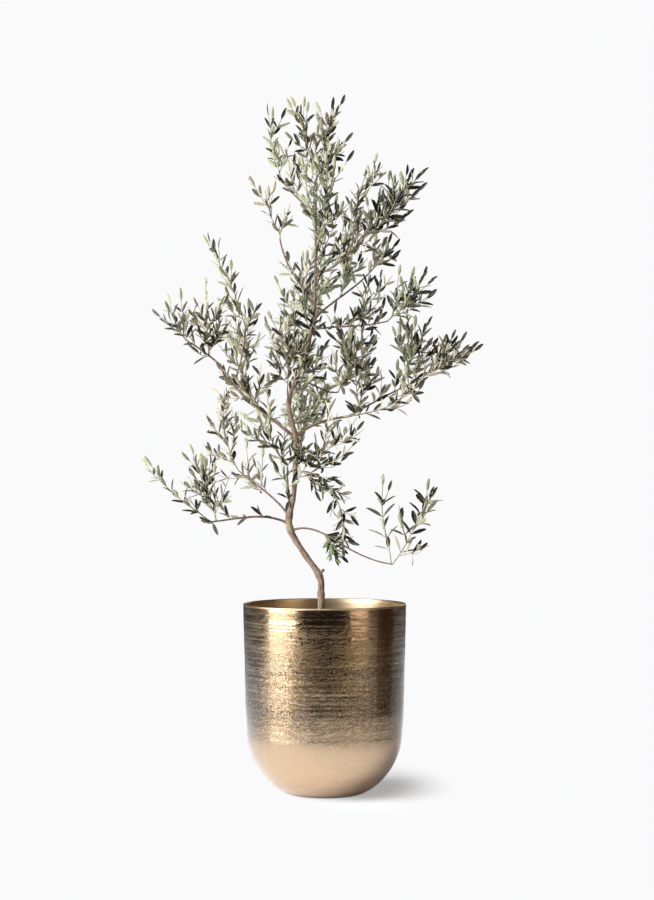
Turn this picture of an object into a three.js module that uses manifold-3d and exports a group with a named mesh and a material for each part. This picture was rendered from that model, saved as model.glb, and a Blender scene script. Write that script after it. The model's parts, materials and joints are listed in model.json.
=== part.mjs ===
// A young olive tree in a tall round-bottomed metal planter, about 1.6 m high.
// Millimetres, +Z up, the origin at the centre of the planter's flat foot.
// -Y is the front, +X the right-hand side seen from the front.
import * as THREE from 'three';
import { mergeVertices } from 'three/addons/utils/BufferGeometryUtils.js';
import Module from 'manifold-3d';

const wasm = await Module();
wasm.setup();

// Planter: a thin spun-metal shell, slightly wider at the rim, with a rounded bottom.
const planter = {
  height: 432,
  rimRadius: 185,
  waistRadius: 177.5,
  waistHeight: 135,
  footRadius: 70,
  roundness: 1.7,
  wall: 4,
  footInset: 0.55,
  facets: 36,
  outerSteps: 6,
  innerSteps: 3,
};

// Soil stands this far below the rim. Pieces that touch keep the clearance between them.
const soilBelowRim = 58;
const clearance = 0.3;

// Trunk: where its centre line turns, as distance right, back and up, and how thick it is.
const trunkSizes = {
  knees: [
    [-9, 0, 374.3], [-8, 0, 457], [-13, 2, 496], [-50, 6, 550], [-81, 6, 610], [-70, 0, 682],
    [-65, -6, 797], [-82, -3, 887], [-60, 4, 952], [-36, 6, 1022], [-23, 0, 1120],
  ],
  girth: [15.5, 7.4],
  flareGirth: 9,
  flareHeight: 16,
  sides: 7,
  segments: 20,
  framesPerSegment: 3,
};

// Every limb leaves its parent at a place along it (a height in mm on the trunk, a share of the
// length on a limb), goes out by `reach` towards `bearing` (degrees in plan, 0 right, 90 back)
// and up by `rise`. `leave` and `arrive` are its slopes in degrees at the two ends, and `girth`
// its thickness there.
const boughSizes = {
  low_left_bough: {
    on: 'trunk', at: 612, bearing: 203, reach: 190, rise: 7,
    leave: 28, arrive: -4, girth: [5.5, 3.4],
  },
  left_diagonal_bough: {
    on: 'trunk', at: 629, bearing: 147, reach: 140, rise: 103, leave: 50, arrive: 35, girth: [5, 3],
  },
  inner_upright_bough: {
    on: 'trunk', at: 645, bearing: 263, reach: 59, rise: 101,
    leave: 45, arrive: 85, girth: [4, 2.8],
  },
  low_right_bough: {
    on: 'trunk', at: 596, bearing: 341, reach: 127, rise: -32,
    leave: 25, arrive: -32, girth: [4.6, 3.4],
  },
  low_right_outer_bough: {
    on: 'low_right_bough', at: 1, bearing: 344, reach: 113, rise: -40,
    leave: -28, arrive: -6, girth: [3.4, 2.8],
  },
  left_bough: {
    on: 'trunk', at: 806, bearing: 188, reach: 171, rise: 164, leave: 42, arrive: 62, girth: [8, 5],
  },
  far_left_bough: {
    on: 'left_bough', at: 1, bearing: 208, reach: 86, rise: 56,
    leave: 42, arrive: 28, girth: [4.6, 3],
  },
  left_rising_bough: {
    on: 'left_bough', at: 0.78, bearing: 60, reach: 50, rise: 129,
    leave: 60, arrive: 88, girth: [4, 2.8],
  },
  right_bough: {
    on: 'trunk', at: 809, bearing: 7, reach: 124, rise: 48, leave: 45, arrive: 8, girth: [7, 5],
  },
  right_high_bough: {
    on: 'right_bough', at: 1, bearing: 13, reach: 160, rise: 81,
    leave: 30, arrive: 22, girth: [4.6, 3],
  },
  mid_right_bough: {
    on: 'trunk', at: 1053, bearing: 334, reach: 191, rise: 15,
    leave: 8, arrive: 12, girth: [4.6, 3],
  },
  upper_right_bough: {
    on: 'trunk', at: 1071, bearing: 26, reach: 152, rise: 123,
    leave: 48, arrive: 48, girth: [5.5, 3.2],
  },
  upper_left_bough: {
    on: 'trunk', at: 1108, bearing: 211, reach: 89, rise: 148,
    leave: 52, arrive: 80, girth: [5, 3.2],
  },
  leader: {
    on: 'trunk', at: 1122, bearing: 65, reach: 11, rise: 269,
    leave: 84, arrive: 84, girth: [7, 3.8],
  },
  crown_right_bough: {
    on: 'leader', at: 0.2, bearing: 337, reach: 113, rise: 86,
    leave: 22, arrive: 62, girth: [4.8, 3.2],
  },
  crown_left_bough: {
    on: 'leader', at: 0.72, bearing: 154, reach: 90, rise: 89,
    leave: 45, arrive: 55, girth: [3.8, 2.8],
  },
  front_left_bough: {
    on: 'trunk', at: 888, bearing: 270, reach: 158, rise: 30,
    leave: 20, arrive: 35, girth: [4.4, 3],
  },
  back_left_bough: {
    on: 'trunk', at: 978, bearing: 98, reach: 150, rise: 70,
    leave: 25, arrive: 45, girth: [4.4, 3],
  },
  back_right_bough: {
    on: 'trunk', at: 933, bearing: 52, reach: 161, rise: -18,
    leave: 15, arrive: 10, girth: [4.4, 3],
  },
};

// Sprays of foliage: a stem with the same sizes as a limb, the width of the space that its
// shoots keep to, and how many shoots branch from it. Its reach and rise go to the end of the
// last leaf.
const spraySizes = {
  far_left_low_spray: {
    on: 'low_left_bough', at: 1, bearing: 198, reach: 165, rise: 139,
    leave: 40, arrive: 55, width: 90, shoots: 3,
  },
  low_left_spray: {
    on: 'low_left_bough', at: 0.93, bearing: 160, reach: 50, rise: 146,
    leave: 85, arrive: 95, width: 120, shoots: 6,
  },
  left_diagonal_spray: {
    on: 'left_diagonal_bough', at: 1, bearing: 152, reach: 72, rise: 166,
    leave: 50, arrive: 65, width: 120, shoots: 6,
  },
  inner_upright_spray: {
    on: 'inner_upright_bough', at: 1, bearing: 210, reach: 82, rise: 118,
    leave: 40, arrive: 55, width: 120, shoots: 5,
  },
  low_right_outer_spray: {
    on: 'low_right_outer_bough', at: 1, bearing: 345, reach: 105, rise: 176,
    leave: 50, arrive: 60, width: 120, shoots: 4,
  },
  low_right_upright_spray: {
    on: 'low_right_outer_bough', at: 0.98, bearing: 160, reach: 32, rise: 206,
    leave: 85, arrive: 92, width: 80, shoots: 2,
  },
  low_tuft: {
    on: 'low_right_bough', at: 0.62, bearing: 10, reach: 62, rise: -48,
    leave: -25, arrive: -40, width: 85, shoots: 3,
  },
  drooping_spray: {
    on: 'trunk', at: 725, bearing: 328, reach: 178, rise: -165,
    leave: 30, arrive: -92, width: 90, shoots: 6,
  },
  front_right_spray: {
    on: 'trunk', at: 748, bearing: 296, reach: 225, rise: 66,
    leave: 20, arrive: 50, width: 140, shoots: 6,
  },
  back_low_spray: {
    on: 'trunk', at: 840, bearing: 78, reach: 240, rise: 62,
    leave: 5, arrive: 55, width: 125, shoots: 6,
  },
  far_left_spray: {
    on: 'far_left_bough', at: 1, bearing: 214, reach: 60, rise: 86,
    leave: 45, arrive: 60, width: 110, shoots: 4,
  },
  left_upright_spray: {
    on: 'far_left_bough', at: 0.35, bearing: 267, reach: 87, rise: 118,
    leave: 80, arrive: 95, width: 120, shoots: 5,
  },
  left_tall_spray: {
    on: 'left_rising_bough', at: 1, bearing: 184, reach: 92, rise: 222,
    leave: 78, arrive: 60, width: 80, shoots: 4,
  },
  left_inner_spray: {
    on: 'left_rising_bough', at: 0.45, bearing: 82, reach: 85, rise: 125,
    leave: 60, arrive: 80, width: 110, shoots: 5,
  },
  front_left_spray: {
    on: 'front_left_bough', at: 1, bearing: 274, reach: 106, rise: 125,
    leave: 45, arrive: 75, width: 112, shoots: 6,
  },
  back_left_spray: {
    on: 'back_left_bough', at: 1, bearing: 92, reach: 91, rise: 111,
    leave: 50, arrive: 75, width: 125, shoots: 5,
  },
  front_high_spray: {
    on: 'trunk', at: 1038, bearing: 264, reach: 192, rise: 147,
    leave: 25, arrive: 85, width: 130, shoots: 5,
  },
  right_tip_spray: {
    on: 'right_high_bough', at: 1, bearing: 6, reach: 128, rise: 86,
    leave: 35, arrive: 30, width: 125, shoots: 6,
  },
  right_high_spray: {
    on: 'right_high_bough', at: 0.75, bearing: 59, reach: 104, rise: 165,
    leave: 70, arrive: 85, width: 130, shoots: 6,
  },
  right_inner_spray: {
    on: 'right_high_bough', at: 0.1, bearing: 310, reach: 55, rise: 130,
    leave: 60, arrive: 75, width: 110, shoots: 5,
  },
  right_low_spray: {
    on: 'right_bough', at: 0.88, bearing: 336, reach: 212, rise: 62,
    leave: 8, arrive: 35, width: 110, shoots: 5,
  },
  mid_right_spray: {
    on: 'mid_right_bough', at: 1, bearing: 334, reach: 110, rise: 92,
    leave: 45, arrive: 60, width: 115, shoots: 5,
  },
  mid_right_inner_spray: {
    on: 'mid_right_bough', at: 0.5, bearing: 306, reach: 115, rise: 92,
    leave: 45, arrive: 75, width: 120, shoots: 5,
  },
  upper_right_spray: {
    on: 'upper_right_bough', at: 1, bearing: 35, reach: 87, rise: 74,
    leave: 40, arrive: 45, width: 110, shoots: 4,
  },
  upper_back_spray: {
    on: 'trunk', at: 1091, bearing: 86, reach: 206, rise: 117,
    leave: 20, arrive: 75, width: 150, shoots: 5,
  },
  back_right_spray: {
    on: 'back_right_bough', at: 1, bearing: 58, reach: 107, rise: 130,
    leave: 55, arrive: 80, width: 125, shoots: 5,
  },
  upper_left_spray: {
    on: 'upper_left_bough', at: 1, bearing: 209, reach: 51, rise: 116,
    leave: 95, arrive: 85, width: 100, shoots: 4,
  },
  crown_left_spray: {
    on: 'crown_left_bough', at: 1, bearing: 146, reach: 44, rise: 166,
    leave: 80, arrive: 95, width: 100, shoots: 4,
  },
  crown_centre_spray: {
    on: 'leader', at: 1, bearing: 206, reach: 52, rise: 198,
    leave: 95, arrive: 95, width: 110, shoots: 6,
  },
  crown_top_spray: {
    on: 'leader', at: 0.93, bearing: 24, reach: 46, rise: 218,
    leave: 60, arrive: 80, width: 110, shoots: 6,
  },
  crown_front_spray: {
    on: 'leader', at: 0.42, bearing: 290, reach: 110, rise: 180,
    leave: 45, arrive: 80, width: 140, shoots: 7,
  },
  crown_back_spray: {
    on: 'leader', at: 0.3, bearing: 84, reach: 126, rise: 150,
    leave: 35, arrive: 75, width: 140, shoots: 6,
  },
  crown_right_spray: {
    on: 'crown_right_bough', at: 0.6, bearing: 350, reach: 46, rise: 212,
    leave: 60, arrive: 72, width: 100, shoots: 6,
  },
  crown_inner_spray: {
    on: 'upper_right_bough', at: 0.45, bearing: 355, reach: 36, rise: 138,
    leave: 60, arrive: 85, width: 110, shoots: 6,
  },
  leader_left_spray: {
    on: 'crown_left_bough', at: 0.45, bearing: 215, reach: 50, rise: 118,
    leave: 55, arrive: 80, width: 100, shoots: 4,
  },
  mid_left_spray: {
    on: 'left_bough', at: 0.42, bearing: 190, reach: 78, rise: 148,
    leave: 60, arrive: 70, width: 110, shoots: 6,
  },
  fork_right_spray: {
    on: 'trunk', at: 900, bearing: 8, reach: 66, rise: 132,
    leave: 30, arrive: 85, width: 120, shoots: 6,
  },
  crown_far_right_spray: {
    on: 'crown_right_bough', at: 0.9, bearing: 337, reach: 150, rise: 152,
    leave: 30, arrive: 60, width: 130, shoots: 6,
  },
};

const twigSizes = {
  stemGirth: [3.4, 3],
  shootGirth: [3.2, 2.8],
  firstShoot: 0.16,
  lastShoot: 0.86,
  shootReach: 0.66,
  opening: [34, 54],
  nearTip: 0.75,
  nearRoot: 1.1,
  spread: [0.8, 1.15],
  upturn: 0.45,
  turnPerShoot: 137.5,
  turnPerSpray: 61,
  turnSpread: 40,
  swell: 1 / 12,
  bareFrames: 6,
  room: 1,
};

// A leaf is a flat pointed blade with a ridge down its middle, its root sunk in its twig.
const leafSizes = {
  length: 66,
  width: 22,
  thickness: 2.2,
  rootDepth: 0.5,
  opening: [28, 52],
  pitch: 25,
  spread: 0.15,
  firstOnStem: 0.4,
  firstOnShoot: 0.35,
  last: 0.92,
  places: 9,
  ball: 3.2,
  crossing: 4.5,
  attempts: 6,
  swing: 0.15,
};

// How finely limbs are drawn, and how far along them their slopes at the ends are felt.
const pathSteps = 24;
const boughSegments = 5;
const boughSides = 5;
const stemSegments = 4;
const stemSides = 3;
const slopeReach = 0.35;
const sharpness = 1e-12;

// Room kept round a limb, between the spaces of two sprays, and where a limb's foot is cut.
const limbRoom = 1.5;
const spaceGap = 4;
const cutRoom = clearance * 1.2;

const up = new THREE.Vector3(0, 0, 1);
const right = new THREE.Vector3(1, 0, 0);

const looks = {
  brass: { color: 0xa08556, roughness: 0.32, metalness: 1 },
  soil: { color: 0x4a3a2c, roughness: 0.95, metalness: 0 },
  bark: { color: 0x9b8374, roughness: 0.85, metalness: 0 },
  foliage: { color: 0x7d8060, roughness: 0.6, metalness: 0 },
};

const tree = new THREE.Group();

function addNode(name, geometry, look) {
  const mesh = new THREE.Mesh(geometry, new THREE.MeshStandardMaterial(look));
  mesh.name = name;
  tree.add(mesh);
}

function mix(from, to, share) {
  return from + (to - from) * share;
}

// Repeatable draws between 0 and 1, the same for the same seed.
function draws(seed) {
  let state = seed * 7919 + 1;
  return () => {
    state = (state * 16807) % 2147483647;
    return state / 2147483647;
  };
}

// Closed three.js geometry to a solid that can be joined and cut, and back.
function toSolid(geometry) {
  geometry.deleteAttribute('normal');
  geometry.deleteAttribute('uv');
  const merged = mergeVertices(geometry);
  return new wasm.Manifold(new wasm.Mesh({
    numProp: 3,
    vertProperties: new Float32Array(merged.attributes.position.array),
    triVerts: new Uint32Array(merged.index.array),
  }));
}

function toGeometry(solid) {
  const mesh = solid.getMesh();
  const geometry = new THREE.BufferGeometry();
  geometry.setAttribute('position', new THREE.BufferAttribute(mesh.vertProperties, mesh.numProp));
  geometry.setIndex(new THREE.BufferAttribute(mesh.triVerts, 1));
  geometry.computeVertexNormals();
  return geometry;
}

// The biggest body of a joined solid: sealed hollows are filled and loose scraps dropped.
function mainBody(solid) {
  const bodies = solid.decompose();
  return bodies.reduce((biggest, body) => (body.volume() > biggest.volume() ? body : biggest));
}

// A direction from its bearing in plan and its slope above the level, in degrees.
function heading(bearing, slope) {
  const turn = THREE.MathUtils.degToRad(bearing);
  const lift = THREE.MathUtils.degToRad(slope);
  return new THREE.Vector3(
    Math.cos(lift) * Math.cos(turn),
    Math.cos(lift) * Math.sin(turn),
    Math.sin(lift),
  );
}

// Points along a curve, each with the directions along and across it, carried on without twist.
function framesAlong(curve, steps) {
  const frames = [];
  let side = null;
  for (let i = 0; i <= steps; i += 1) {
    const share = i / steps;
    const along = curve.getTangent(share);
    if (side === null) {
      side = Math.abs(along.z) < 0.9 ? up.clone() : right.clone();
    }
    side = side.clone().addScaledVector(along, -side.dot(along)).normalize();
    frames.push({
      point: curve.getPoint(share),
      along,
      side,
      across: side.clone().cross(along),
    });
  }
  return frames;
}

// A turned bar bent along a limb. The outline gives its radius at shares of the length, and
// `longer` moves its tip that much past the end of the limb.
function bendAlong(limb, outline, sides, longer = 0) {
  const geometry = new THREE.LatheGeometry(outline, sides);
  const place = geometry.attributes.position;
  const corner = new THREE.Vector3();
  const last = limb.frames.length - 1;
  for (let i = 0; i < place.count; i += 1) {
    corner.fromBufferAttribute(place, i);
    const frame = limb.frames[Math.round(corner.y * last)];
    const moved = frame.point.clone()
      .addScaledVector(frame.side, corner.x)
      .addScaledVector(frame.across, corner.z)
      .addScaledVector(frame.along, corner.y === 1 ? longer : 0);
    place.setXYZ(i, moved.x, moved.y, moved.z);
  }
  return toSolid(geometry);
}

// A limb with flat ends. `fatter` makes it that much thicker all over and longer at its tip.
function barAlong(limb, segments, sides, fatter = 0) {
  const outline = [new THREE.Vector2(0, 0)];
  for (let ring = 0; ring <= segments; ring += 1) {
    const share = ring / segments;
    outline.push(new THREE.Vector2(limb.radiusAt(share) + fatter, share));
  }
  outline.push(new THREE.Vector2(0, 1));
  return bendAlong(limb, outline, sides, fatter);
}

// A shoot starts from a point inside its stem and reaches its full thickness just outside it.
function shootAlong(shoot) {
  const outline = [
    new THREE.Vector2(0, 0),
    new THREE.Vector2(shoot.radiusAt(0), twigSizes.swell),
    new THREE.Vector2(shoot.radiusAt(1), 1),
    new THREE.Vector2(0, 1),
  ];
  return bendAlong(shoot, outline, stemSides);
}

function taperedRadius(girth) {
  return (share) => mix(girth[0], girth[1], share) / 2;
}

// The trunk's centre line and thickness, flared at the soil.
function makeTrunk() {
  const knees = trunkSizes.knees.map(([x, y, z]) => new THREE.Vector3(x, y, z));
  const curve = new THREE.CatmullRomCurve3(knees, false, 'catmullrom', 0.5);
  const steps = trunkSizes.segments * trunkSizes.framesPerSegment;
  const taper = taperedRadius(trunkSizes.girth);
  const foot = knees[0].z;
  return {
    curve,
    frames: framesAlong(curve, steps),
    radiusAt: (share) => {
      const height = curve.getPoint(share).z - foot;
      return taper(share) + (trunkSizes.flareGirth / 2) * Math.exp(-height / trunkSizes.flareHeight);
    },
  };
}

// The share of a limb's length at which it stands at a height.
function shareAtHeight(curve, height) {
  let low = 0;
  let high = 1;
  while (high - low > sharpness) {
    const middle = (low + high) / 2;
    if (curve.getPoint(middle).z < height) {
      low = middle;
    } else {
      high = middle;
    }
  }
  return low;
}

// A limb's centre line and thickness, worked out from its sizes and its parent.
function makeLimb(sizes, parent, girth, leafAtTip = 0) {
  const share = sizes.on === 'trunk' ? shareAtHeight(parent.curve, sizes.at) : sizes.at;
  const start = parent.curve.getPoint(share);
  const chord = heading(sizes.bearing, 0).multiplyScalar(sizes.reach).addScaledVector(up, sizes.rise);
  chord.setLength(chord.length() - leafAtTip);
  const pull = chord.length() * slopeReach;
  const end = start.clone().add(chord);
  const curve = new THREE.CubicBezierCurve3(
    start,
    start.clone().addScaledVector(heading(sizes.bearing, sizes.leave), pull),
    end.clone().addScaledVector(heading(sizes.bearing, sizes.arrive), -pull),
    end,
  );
  return { curve, parent, frames: framesAlong(curve, pathSteps), radiusAt: taperedRadius(girth) };
}

const trunk = makeTrunk();
const limbs = { trunk };
for (const [name, sizes] of Object.entries(boughSizes)) {
  limbs[name] = makeLimb(sizes, limbs[sizes.on], sizes.girth);
}
const stems = {};
for (const [name, sizes] of Object.entries(spraySizes)) {
  stems[name] = makeLimb(sizes, limbs[sizes.on], twigSizes.stemGirth, leafSizes.length);
}

// Space already taken by wood and leaves: balls along each piece, with the node they belong to.
const taken = [];

function takeSpace(owner, twig, points, radius) {
  points.forEach((point) => taken.push({ owner, twig, point, radius }));
}

function isFree(owner, twig, points, radius) {
  return points.every((point) => taken.every((ball) => {
    const room = ball.owner === owner ? leafSizes.crossing : ball.radius + radius + clearance;
    return ball.twig === twig || ball.point.distanceTo(point) > room;
  }));
}

for (const [name, limb] of Object.entries({ ...limbs, ...stems })) {
  const radius = limb.radiusAt(0.5) + limbRoom;
  takeSpace(name, name, limb.frames.map((frame) => frame.point), radius);
}

// A spray's space lies round its stem and goes on to the end of its last leaf.
const spines = {};
for (const [name, stem] of Object.entries(stems)) {
  const last = stem.frames[pathSteps];
  const onward = [0.5, 1].map((share) => (
    last.point.clone().addScaledVector(last.along, leafSizes.length * share)
  ));
  spines[name] = [...stem.frames.map((frame) => frame.point), ...onward];
}

// How far a point lies outside a spray's space.
function outside(point, name) {
  const nearest = Math.min(...spines[name].map((place) => place.distanceTo(point)));
  return nearest - spraySizes[name].width / 2;
}

// A piece keeps to its spray's space if no part of it is outside, or nearer to another spray.
function keepsToSpace(name, points) {
  return points.every((point) => {
    const own = outside(point, name);
    return own < 0 && Object.keys(stems).every((other) => (
      other === name || outside(point, other) > own + spaceGap
    ));
  });
}

// Places over a leaf's blade, close enough that a ball round each of them covers it.
function bladePlaces(root, direction, level, length) {
  const places = [];
  for (let i = 2; i <= leafSizes.places; i += 1) {
    const share = i / leafSizes.places;
    const middle = root.clone().addScaledVector(direction, length * share);
    const half = (leafSizes.width / 2) * (1 - Math.abs(2 * share - 1)) - leafSizes.ball / 2;
    places.push(middle);
    if (half > leafSizes.ball) {
      places.push(middle.clone().addScaledVector(level, half));
      places.push(middle.clone().addScaledVector(level, -half));
    }
  }
  return places;
}

// Shoots branch from the stem one after another, each turned round it from the last.
function growShoots(name, seed) {
  const sizes = spraySizes[name];
  const stem = stems[name];
  const next = draws(seed);
  const shoots = [];
  for (let i = 0; i < sizes.shoots; i += 1) {
    const share = mix(twigSizes.firstShoot, twigSizes.lastShoot, i / Math.max(1, sizes.shoots - 1));
    const frame = stem.frames[Math.round(share * pathSteps)];
    const turn = THREE.MathUtils.degToRad(
      i * twigSizes.turnPerShoot + seed * twigSizes.turnPerSpray + twigSizes.turnSpread * next(),
    );
    const opening = THREE.MathUtils.degToRad(mix(...twigSizes.opening, next()));
    const length = sizes.width * twigSizes.shootReach
      * mix(twigSizes.nearRoot, twigSizes.nearTip, share) * mix(...twigSizes.spread, next());
    const out = frame.side.clone().multiplyScalar(Math.cos(turn))
      .addScaledVector(frame.across, Math.sin(turn));
    const start = frame.along.clone().multiplyScalar(Math.cos(opening))
      .addScaledVector(out, Math.sin(opening));
    const middle = frame.point.clone().addScaledVector(start, length / 2);
    const onward = start.clone().addScaledVector(up, twigSizes.upturn).normalize();
    const tip = middle.clone().addScaledVector(onward, length / 2);
    const curve = new THREE.QuadraticBezierCurve3(frame.point.clone(), middle, tip);
    const shoot = {
      name: `${name} ${i}`,
      curve,
      frames: framesAlong(curve, pathSteps),
      radiusAt: taperedRadius(twigSizes.shootGirth),
    };
    const outer = shoot.frames.slice(twigSizes.bareFrames).map((step) => step.point);
    const room = twigSizes.shootGirth[0] / 2 + twigSizes.room;
    if (keepsToSpace(name, outer) && isFree(name, shoot.name, outer, room)) {
      takeSpace(name, shoot.name, outer, room);
      shoots.push(shoot);
    }
  }
  return shoots;
}

// One flat blade from a root point, along a direction and across a level.
function leafSolid(root, direction, level, length) {
  const normal = direction.clone().cross(level);
  const geometry = new THREE.TetrahedronGeometry(Math.sqrt(3) / 2);
  geometry.rotateZ(-Math.PI / 4);
  geometry.scale(length / Math.SQRT2, leafSizes.width / Math.SQRT2, leafSizes.thickness);
  geometry.translate(length / 2 - leafSizes.rootDepth, 0, -leafSizes.thickness / 2);
  geometry.applyMatrix4(new THREE.Matrix4().makeBasis(direction, level, normal).setPosition(root));
  return toSolid(geometry);
}

// Leaves stand in opposite pairs along a twig, each pair turned a quarter from the last, with
// one more at the tip.
function growLeaves(name, twig, twigName, next, firstShare) {
  const solids = [];
  const length = twig.curve.getLength();
  const pairs = Math.max(1, Math.round((length * (1 - firstShare)) / leafSizes.pitch));
  const start = next() * Math.PI;
  const tryLeaf = (frame, direction, across) => {
    const size = leafSizes.length * mix(1 - leafSizes.spread, 1 + leafSizes.spread, next());
    const level = across.clone().addScaledVector(direction, -across.dot(direction)).normalize();
    const blade = bladePlaces(frame.point, direction, level, size);
    const tip = blade.slice(-1);
    if (keepsToSpace(name, tip) && isFree(name, twigName, blade, leafSizes.ball)) {
      takeSpace(name, twigName, blade, leafSizes.ball);
      solids.push(leafSolid(frame.point, direction, level, size));
      return true;
    }
    return false;
  };
  for (let pair = 0; pair < pairs; pair += 1) {
    const share = mix(firstShare, leafSizes.last, pair / pairs);
    const frame = twig.frames[Math.round(share * pathSteps)];
    const turn = start + (pair * Math.PI) / 2;
    const out = frame.side.clone().multiplyScalar(Math.cos(turn))
      .addScaledVector(frame.across, Math.sin(turn));
    for (const hand of [1, -1]) {
      for (let attempt = 0; attempt < leafSizes.attempts; attempt += 1) {
        const opening = THREE.MathUtils.degToRad(mix(...leafSizes.opening, next()));
        const direction = frame.along.clone().multiplyScalar(Math.cos(opening))
          .addScaledVector(out, hand * Math.sin(opening)).normalize();
        const across = frame.along.clone().cross(out)
          .addScaledVector(frame.along, next() - 0.5).addScaledVector(out, next() - 0.5);
        if (tryLeaf(frame, direction, across)) {
          break;
        }
      }
    }
  }
  const last = twig.frames[pathSteps];
  for (let attempt = 0; attempt < leafSizes.attempts; attempt += 1) {
    const swing = attempt * leafSizes.swing;
    const direction = last.along.clone()
      .addScaledVector(last.side, swing * (next() - 0.5))
      .addScaledVector(last.across, swing * (next() - 0.5)).normalize();
    if (tryLeaf(last, direction, last.side)) {
      break;
    }
  }
  return solids;
}

// The curve from the edge of the planter's foot up to the waist, moved in by `inset`.
function roundBottom(inset, steps) {
  const outline = [];
  const spread = planter.waistRadius - planter.footRadius;
  for (let i = 0; i <= steps; i += 1) {
    const lift = 1 - Math.cos((i / steps) * (Math.PI / 2));
    const fall = 1 - lift;
    const out = (1 - fall ** planter.roundness) ** (1 / planter.roundness);
    outline.push(new THREE.Vector2(
      planter.footRadius + spread * out - inset * mix(planter.footInset, 1, out),
      planter.waistHeight * lift + inset * fall,
    ));
  }
  return outline;
}

function latheSolid(outline) {
  const geometry = new THREE.LatheGeometry(outline, planter.facets);
  geometry.rotateX(Math.PI / 2);
  return toSolid(geometry);
}

// The planter's outline goes up the outside, over the rounded lip and down the inside.
function addPlanter() {
  const outer = roundBottom(0, planter.outerSteps);
  const inner = roundBottom(planter.wall, planter.innerSteps).reverse();
  const lip = planter.wall / 4;
  const outline = [
    new THREE.Vector2(0, 0),
    ...outer,
    new THREE.Vector2(planter.rimRadius, planter.height - lip),
    new THREE.Vector2(planter.rimRadius - lip, planter.height),
    new THREE.Vector2(planter.rimRadius - planter.wall + lip, planter.height),
    new THREE.Vector2(planter.rimRadius - planter.wall, planter.height - lip),
    ...inner,
    new THREE.Vector2(0, planter.wall),
  ];
  addNode('planter', toGeometry(latheSolid(outline)), looks.brass);
}

// The soil fills the planter up to its level top.
function addSoil() {
  const top = planter.height - soilBelowRim;
  const inset = planter.wall + clearance;
  const lean = (planter.rimRadius - planter.waistRadius) / (planter.height - planter.waistHeight);
  const topRadius = planter.waistRadius + lean * (top - planter.waistHeight) - inset;
  const outline = [
    new THREE.Vector2(0, inset),
    ...roundBottom(inset, planter.innerSteps),
    new THREE.Vector2(topRadius, top),
    new THREE.Vector2(0, top),
  ];
  addNode('soil', toGeometry(latheSolid(outline)), looks.soil);
}

// A limb's foot is cut clear of the limb that carries it.
function clearOfParent(solid, limb, segments, sides) {
  const parent = barAlong(limb.parent, segments, sides, cutRoom);
  return mainBody(solid.subtract(parent));
}

function parentShape(sizes) {
  return sizes.on === 'trunk'
    ? [trunkSizes.segments, trunkSizes.sides]
    : [boughSegments, boughSides];
}

addPlanter();
addSoil();
addNode('trunk', toGeometry(barAlong(trunk, trunkSizes.segments, trunkSizes.sides)), looks.bark);
for (const [name, sizes] of Object.entries(boughSizes)) {
  const bar = barAlong(limbs[name], boughSegments, boughSides);
  addNode(name, toGeometry(clearOfParent(bar, limbs[name], ...parentShape(sizes))), looks.bark);
}

const sprayNames = Object.keys(spraySizes);
const shootsOf = {};
sprayNames.forEach((name, index) => {
  shootsOf[name] = growShoots(name, index + 1);
});
sprayNames.forEach((name, index) => {
  const next = draws(index + 101);
  const stem = stems[name];
  let solid = barAlong(stem, stemSegments, stemSides);
  const leaves = growLeaves(name, stem, name, next, leafSizes.firstOnStem);
  for (const shoot of shootsOf[name]) {
    solid = solid.add(shootAlong(shoot));
    leaves.push(...growLeaves(name, shoot, shoot.name, next, leafSizes.firstOnShoot));
  }
  leaves.forEach((leaf) => {
    solid = solid.add(leaf);
  });
  const whole = clearOfParent(solid, stem, ...parentShape(spraySizes[name]));
  addNode(name, toGeometry(whole), looks.foliage);
});

export default tree;
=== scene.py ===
# A young olive tree in a tall round-bottomed metal planter, about 1.6 m high.
# Metres, +Z up, the origin at the centre of the planter's flat foot, -Y the front.
import json
import math

import bpy
import numpy as np
from mathutils import Matrix, Vector, noise

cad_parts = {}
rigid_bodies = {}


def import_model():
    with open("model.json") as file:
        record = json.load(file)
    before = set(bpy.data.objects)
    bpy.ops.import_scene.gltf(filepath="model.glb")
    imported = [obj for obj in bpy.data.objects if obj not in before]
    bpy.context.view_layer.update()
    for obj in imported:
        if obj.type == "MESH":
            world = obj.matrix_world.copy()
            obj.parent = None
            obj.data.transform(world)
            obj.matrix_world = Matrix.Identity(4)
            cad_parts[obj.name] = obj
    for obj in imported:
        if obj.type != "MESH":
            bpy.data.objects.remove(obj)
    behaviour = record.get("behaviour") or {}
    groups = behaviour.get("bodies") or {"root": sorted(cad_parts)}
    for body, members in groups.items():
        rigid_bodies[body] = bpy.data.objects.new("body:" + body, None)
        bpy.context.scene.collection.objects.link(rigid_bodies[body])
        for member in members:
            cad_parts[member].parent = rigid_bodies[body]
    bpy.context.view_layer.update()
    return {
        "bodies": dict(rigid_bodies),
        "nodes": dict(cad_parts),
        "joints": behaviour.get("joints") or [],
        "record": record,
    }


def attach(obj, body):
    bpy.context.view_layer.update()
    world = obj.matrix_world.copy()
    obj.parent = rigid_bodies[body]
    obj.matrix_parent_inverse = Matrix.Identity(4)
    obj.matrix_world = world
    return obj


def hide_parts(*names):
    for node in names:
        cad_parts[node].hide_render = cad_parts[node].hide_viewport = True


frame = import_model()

# Planter
# A deep U-shaped pot of thin sheet metal, spun on a lathe and hammered all over with a small
# punch. It is plated in brass and lacquered clear; above its rounded bottom its colour is darkened
# with painted shade.
millimetre = 0.001
planter_height = 0.432
planter_rim = 0.185
planter_waist = 0.1775
waist_height = 0.135
planter_foot = 0.070
roundness = 1.7
planter_wall = 0.004
planter_facets = 288
# How far the side is drawn in round the waist, and how far up and down that reaches.
waist_hollow = 0.0018
waist_reach = 0.035
# At the foot the bottom's inner curve is moved sideways by this share of its inset.
foot_inset_share = 0.55


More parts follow.
